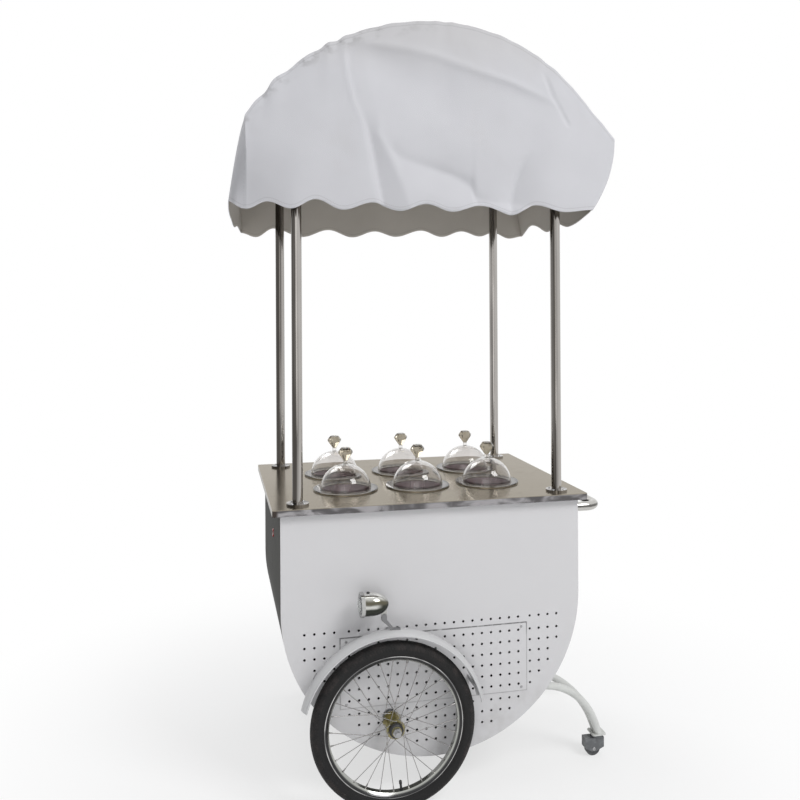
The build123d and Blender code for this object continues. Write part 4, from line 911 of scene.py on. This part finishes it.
def lamp_fittings(name, side, mirror, glass):
    """Reflector bowl and bulb behind a lamp's glass."""
    axis = (1, 0, 0)
    front = Vector((LAMP_FRONT + LAMP_GLASS_BACK, side * WHEEL.y, LAMP_Z))
    shares = (0.0, 0.12, 0.28, 0.46, 0.64, 0.80, 0.92, 1.0)
    bowl = bmesh.new()
    turned(bowl, [(REFLECTOR_RADIUS * sqrt(1 - t), REFLECTOR_DEPTH * t) for t in shares], front, axis, 40)
    piece(bowl, f"{name}_lamp_reflector", f"{name}_lamp", mirror)
    bulb = bmesh.new()
    turned(bulb, BULB, front, axis, 20)
    piece(bulb, f"{name}_lamp_bulb", f"{name}_lamp", glass)


def ring(count, radius, start):
    """Evenly spaced points of a circle, as pairs of offsets."""
    turns = [radians(start + 360 / count * i) for i in range(count)]
    return [(radius * cos(turn), radius * sin(turn)) for turn in turns]


def screws(name, body, finish, size, seats):
    """A group of like screw heads on one body, from the point and the axis of each."""
    shape = bmesh.new()
    for at, axis in seats:
        screw_head(shape, Vector(at), Vector(axis), *size)
    piece(shape, name, body, finish)


def floor():
    """Pale floor that runs out to plain white."""
    f = Finish("studio_floor_paper", {"Roughness": 0.9, "Specular IOR Level": 0.1})
    x, y = f.along(0), f.along(1)
    reach = 0.62 + 0.38 * f.step((x * x + y * y) ** 0.5, 0.6, 1.9)
    f.feed(Base_Color=f.mix(f.noise(0.02), (0.90, 0.90, 0.90), (0.88, 0.88, 0.88)))
    white = f.node("ShaderNodeEmission", None, {"Color": (1, 1, 1, 1), "Strength": 1.0})
    f.overlay(reach * f.shown(), white)
    shape = bmesh.new()
    bmesh.ops.create_circle(shape, cap_ends=True, segments=96, radius=9.0)
    placed(shape, "studio_floor", f)


def world():
    """Soft surround: white where it is seen or mirrored, gentler as light on the cart."""
    surround = bpy.data.worlds.new("studio_surround")
    surround.use_nodes = True
    bpy.context.scene.world = surround
    nodes = Nodes(surround.node_tree)
    nodes.tree.nodes.remove(nodes.tree.nodes["Background"])
    gentle = nodes.node("ShaderNodeBackground", None, {"Color": (0.97, 0.98, 1.0, 1.0), "Strength": 0.42})
    white = nodes.node("ShaderNodeBackground", None, {"Color": (1, 1, 1, 1), "Strength": 1.0})
    nodes.surface("World Output", nodes.shown(), gentle, white)


def softbox(name, at, aim, size, power):
    """Large soft lamp turned towards a point."""
    lamp = bpy.data.lights.new(name, "AREA")
    lamp.shape = "SQUARE"
    lamp.size = size
    lamp.energy = power
    made = bpy.data.objects.new(name, lamp)
    made.location = at
    made.rotation_euler = (Vector(aim) - Vector(at)).to_track_quat("-Z", "Y").to_euler()
    bpy.context.scene.collection.objects.link(made)


def camera():
    """Camera fitted to the photographed counter, posts, wheel and perforations."""
    yaw, pitch, roll = CAMERA_YAW, CAMERA_PITCH, CAMERA_ROLL
    forward = Vector((sin(yaw) * cos(pitch), cos(yaw) * cos(pitch), -sin(pitch)))
    level = Vector((cos(yaw), -sin(yaw), 0))
    down = forward.cross(level)
    right = level * cos(roll) + down * sin(roll)
    under = down * cos(roll) - level * sin(roll)
    lens = bpy.data.cameras.new("photo_camera")
    lens.sensor_width = SENSOR_WIDTH
    lens.lens = FOCAL_PIXELS / PICTURE_PIXELS * SENSOR_WIDTH
    lens.shift_y = CAMERA_SHIFT
    lens.clip_end = 50.0
    made = bpy.data.objects.new("photo_camera", lens)
    turn = Matrix((right, -under, -forward)).transposed().to_4x4()
    made.matrix_world = Matrix.Translation(CAMERA_AT) @ turn
    bpy.context.scene.collection.objects.link(made)
    bpy.context.scene.camera = made


cabinet_white = painted("cabinet_white", (0.66, 0.655, 0.665), (0.62, 0.615, 0.625), seam_shadow=True)
guard_white = painted("mudguard_white", (0.60, 0.60, 0.605), (0.52, 0.52, 0.525), 0.3)
leg_grey = painted("leg_grey", (0.70, 0.71, 0.69), (0.62, 0.63, 0.61))
# Painted shade: the inner frame is near-black so the vent holes read as dark
frame_painted_shade = painted("frame_painted_shade", (0.022, 0.022, 0.024), (0.014, 0.014, 0.015), 0.6)
unit_black = painted("compressor_black", (0.012, 0.012, 0.013), (0.020, 0.020, 0.021))
shaded_end_steel = shaded_end_sheet()
counter_steel = counter_sheet()
post_steel = post_tube()
handle_steel = handle_tube()
pan_steel = pan_sheet()
lamp_chrome = lamp_plate()
strap_steel = plated("lamp_strap_steel", (0.24, 0.24, 0.245), (0.13, 0.13, 0.135), 0.25)
rim_chrome = rim_plate()
spoke_steel = plated("spoke_steel", (0.37, 0.36, 0.355), (0.23, 0.225, 0.22), 0.22)
axle_steel = plated("axle_steel", (0.42, 0.42, 0.43), (0.28, 0.28, 0.28), 0.32)
mirror = plated("lamp_mirror", (0.86, 0.86, 0.84), (0.74, 0.74, 0.72), 0.04)
zinc = zinc_yellow()
bar = galvanised()
rubber = tyre_rubber()
acrylic = clear_acrylic()
glass = lamp_glass()
liner = foam_skin()
cloth = canvas("canopy_canvas", (0.58, 0.58, 0.605), (0.545, 0.545, 0.57), (0.50, 0.49, 0.49))
# Painted shade: the canvas's underside is a darker, warmer copy of its outside
underside_shade = canvas("canopy_underside_shade", (0.565, 0.535, 0.490), (0.505, 0.475, 0.430), (0.43, 0.40, 0.355))
dark_plastic = moulded("dark_plastic", (0.030, 0.030, 0.032), (0.016, 0.016, 0.017), 0.42)
caster_grey = moulded("caster_grey", (0.180, 0.187, 0.194), (0.125, 0.130, 0.136), 0.42)
caster_rubber = moulded("caster_rubber", (0.105, 0.108, 0.110), (0.065, 0.067, 0.069), 0.55)
red_plastic = moulded("red_rocker", (0.52, 0.018, 0.020), (0.38, 0.012, 0.014), 0.2, 0.002)

for name, _ in SIDES:
    dress(cabinet_white, f"{name}_side_panel", f"{name}_vent_panel")
    dress(guard_white, f"{name}_fender")
    dress(rubber, f"{name}_tyre")
    dress(rim_chrome, f"{name}_rim")
    dress(spoke_steel, f"{name}_spokes")
    dress(zinc, f"{name}_hub")
    dress(lamp_chrome, f"{name}_lamp_shell")
    dress(strap_steel, f"{name}_lamp_bracket")
    dress(glass, f"{name}_lamp_lens")
    dress(dark_plastic, f"{name}_lamp_switch")
    dress(caster_grey, f"{name}_caster_fork")
    dress(caster_rubber, f"{name}_caster_wheel")
    dress(leg_grey, f"{name}_leg")
    dress(bar, f"canopy_{name}_arch")
for place in PLACES:
    dress(pan_steel, f"{place}_pan")
    dress(acrylic, f"{place}_lid")
dress(post_steel, *POSTS)
dress(handle_steel, "push_handle")
dress(counter_steel, "countertop")
dress(shaded_end_steel, "wrap_panel")
dress(bar, "canopy_rails", "condenser")
dress(frame_painted_shade, "inner_frame")
dress(liner, "insulated_tank")
dress(axle_steel, "axle", "axle_nuts", "fender_stays")
dress(cloth, "canopy_cover")
dress(unit_black, "compressor")
dress(dark_plastic, "fan")
dress(red_plastic, "power_switch")

canopy_cloth(cloth, underside_shade)
for name, side in SIDES:
    wheel_fittings(name, side, spoke_steel, dark_plastic)
    lamp_fittings(name, side, mirror, glass)
    low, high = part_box(f"{name}_vent_panel")
    face = high.y if side > 0 else low.y
    across = (low.x + VENT_SCREW_X, high.x - VENT_SCREW_X)
    upright = (low.z + VENT_SCREW_Z, high.z - VENT_SCREW_Z)
    seats = [((x, face, z), (0, side, 0)) for x in across for z in upright]
    screws(f"{name}_vent_screws", "cabinet", axle_steel, SHEET_SCREW, seats)
    middle = side * CASTER.y
    seats = [((CASTER.x, middle + way * CASTER_HALF_WIDTH, CASTER.z), (0, way, 0)) for way in (-1, 1)]
    screws(f"{name}_caster_bolts", f"{name}_caster", axle_steel, CASTER_BOLT, seats)
for post in POSTS:
    low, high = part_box(post)
    foot = (low + high) / 2
    seats = [((foot.x + x, foot.y + y, POST_FOOT_TOP), (0, 0, 1)) for x, y in ring(4, POST_SCREW_RING, 45)]
    screws(f"{post}_screws", "cabinet", axle_steel, SHEET_SCREW, seats)
seats = [
    ((HANDLE_FACE, side * HANDLE_Y + y, HANDLE_Z + z), (1, 0, 0))
    for side in (-1, 1) for y, z in ring(3, HANDLE_SCREW_RING, 90)
]
screws("handle_flange_screws", "cabinet", axle_steel, HANDLE_SCREW, seats)

floor()
world()
softbox("key_softbox", (2.2, -3.2, 4.4), (0, 0, 1.3), 2.0, 134.0)
softbox("fill_softbox", (-1.5, -4.2, 1.6), (0, 0, 1.1), 2.2, 24.0)
softbox("top_softbox", (0.2, 0.6, 4.6), (0, 0, 1.4), 2.4, 32.0)
softbox("back_softbox", (-1.6, 3.4, 4.2), (0, 0, 1.2), 2.2, 70.0)
camera()
bpy.context.scene.view_settings.view_transform = "Standard"
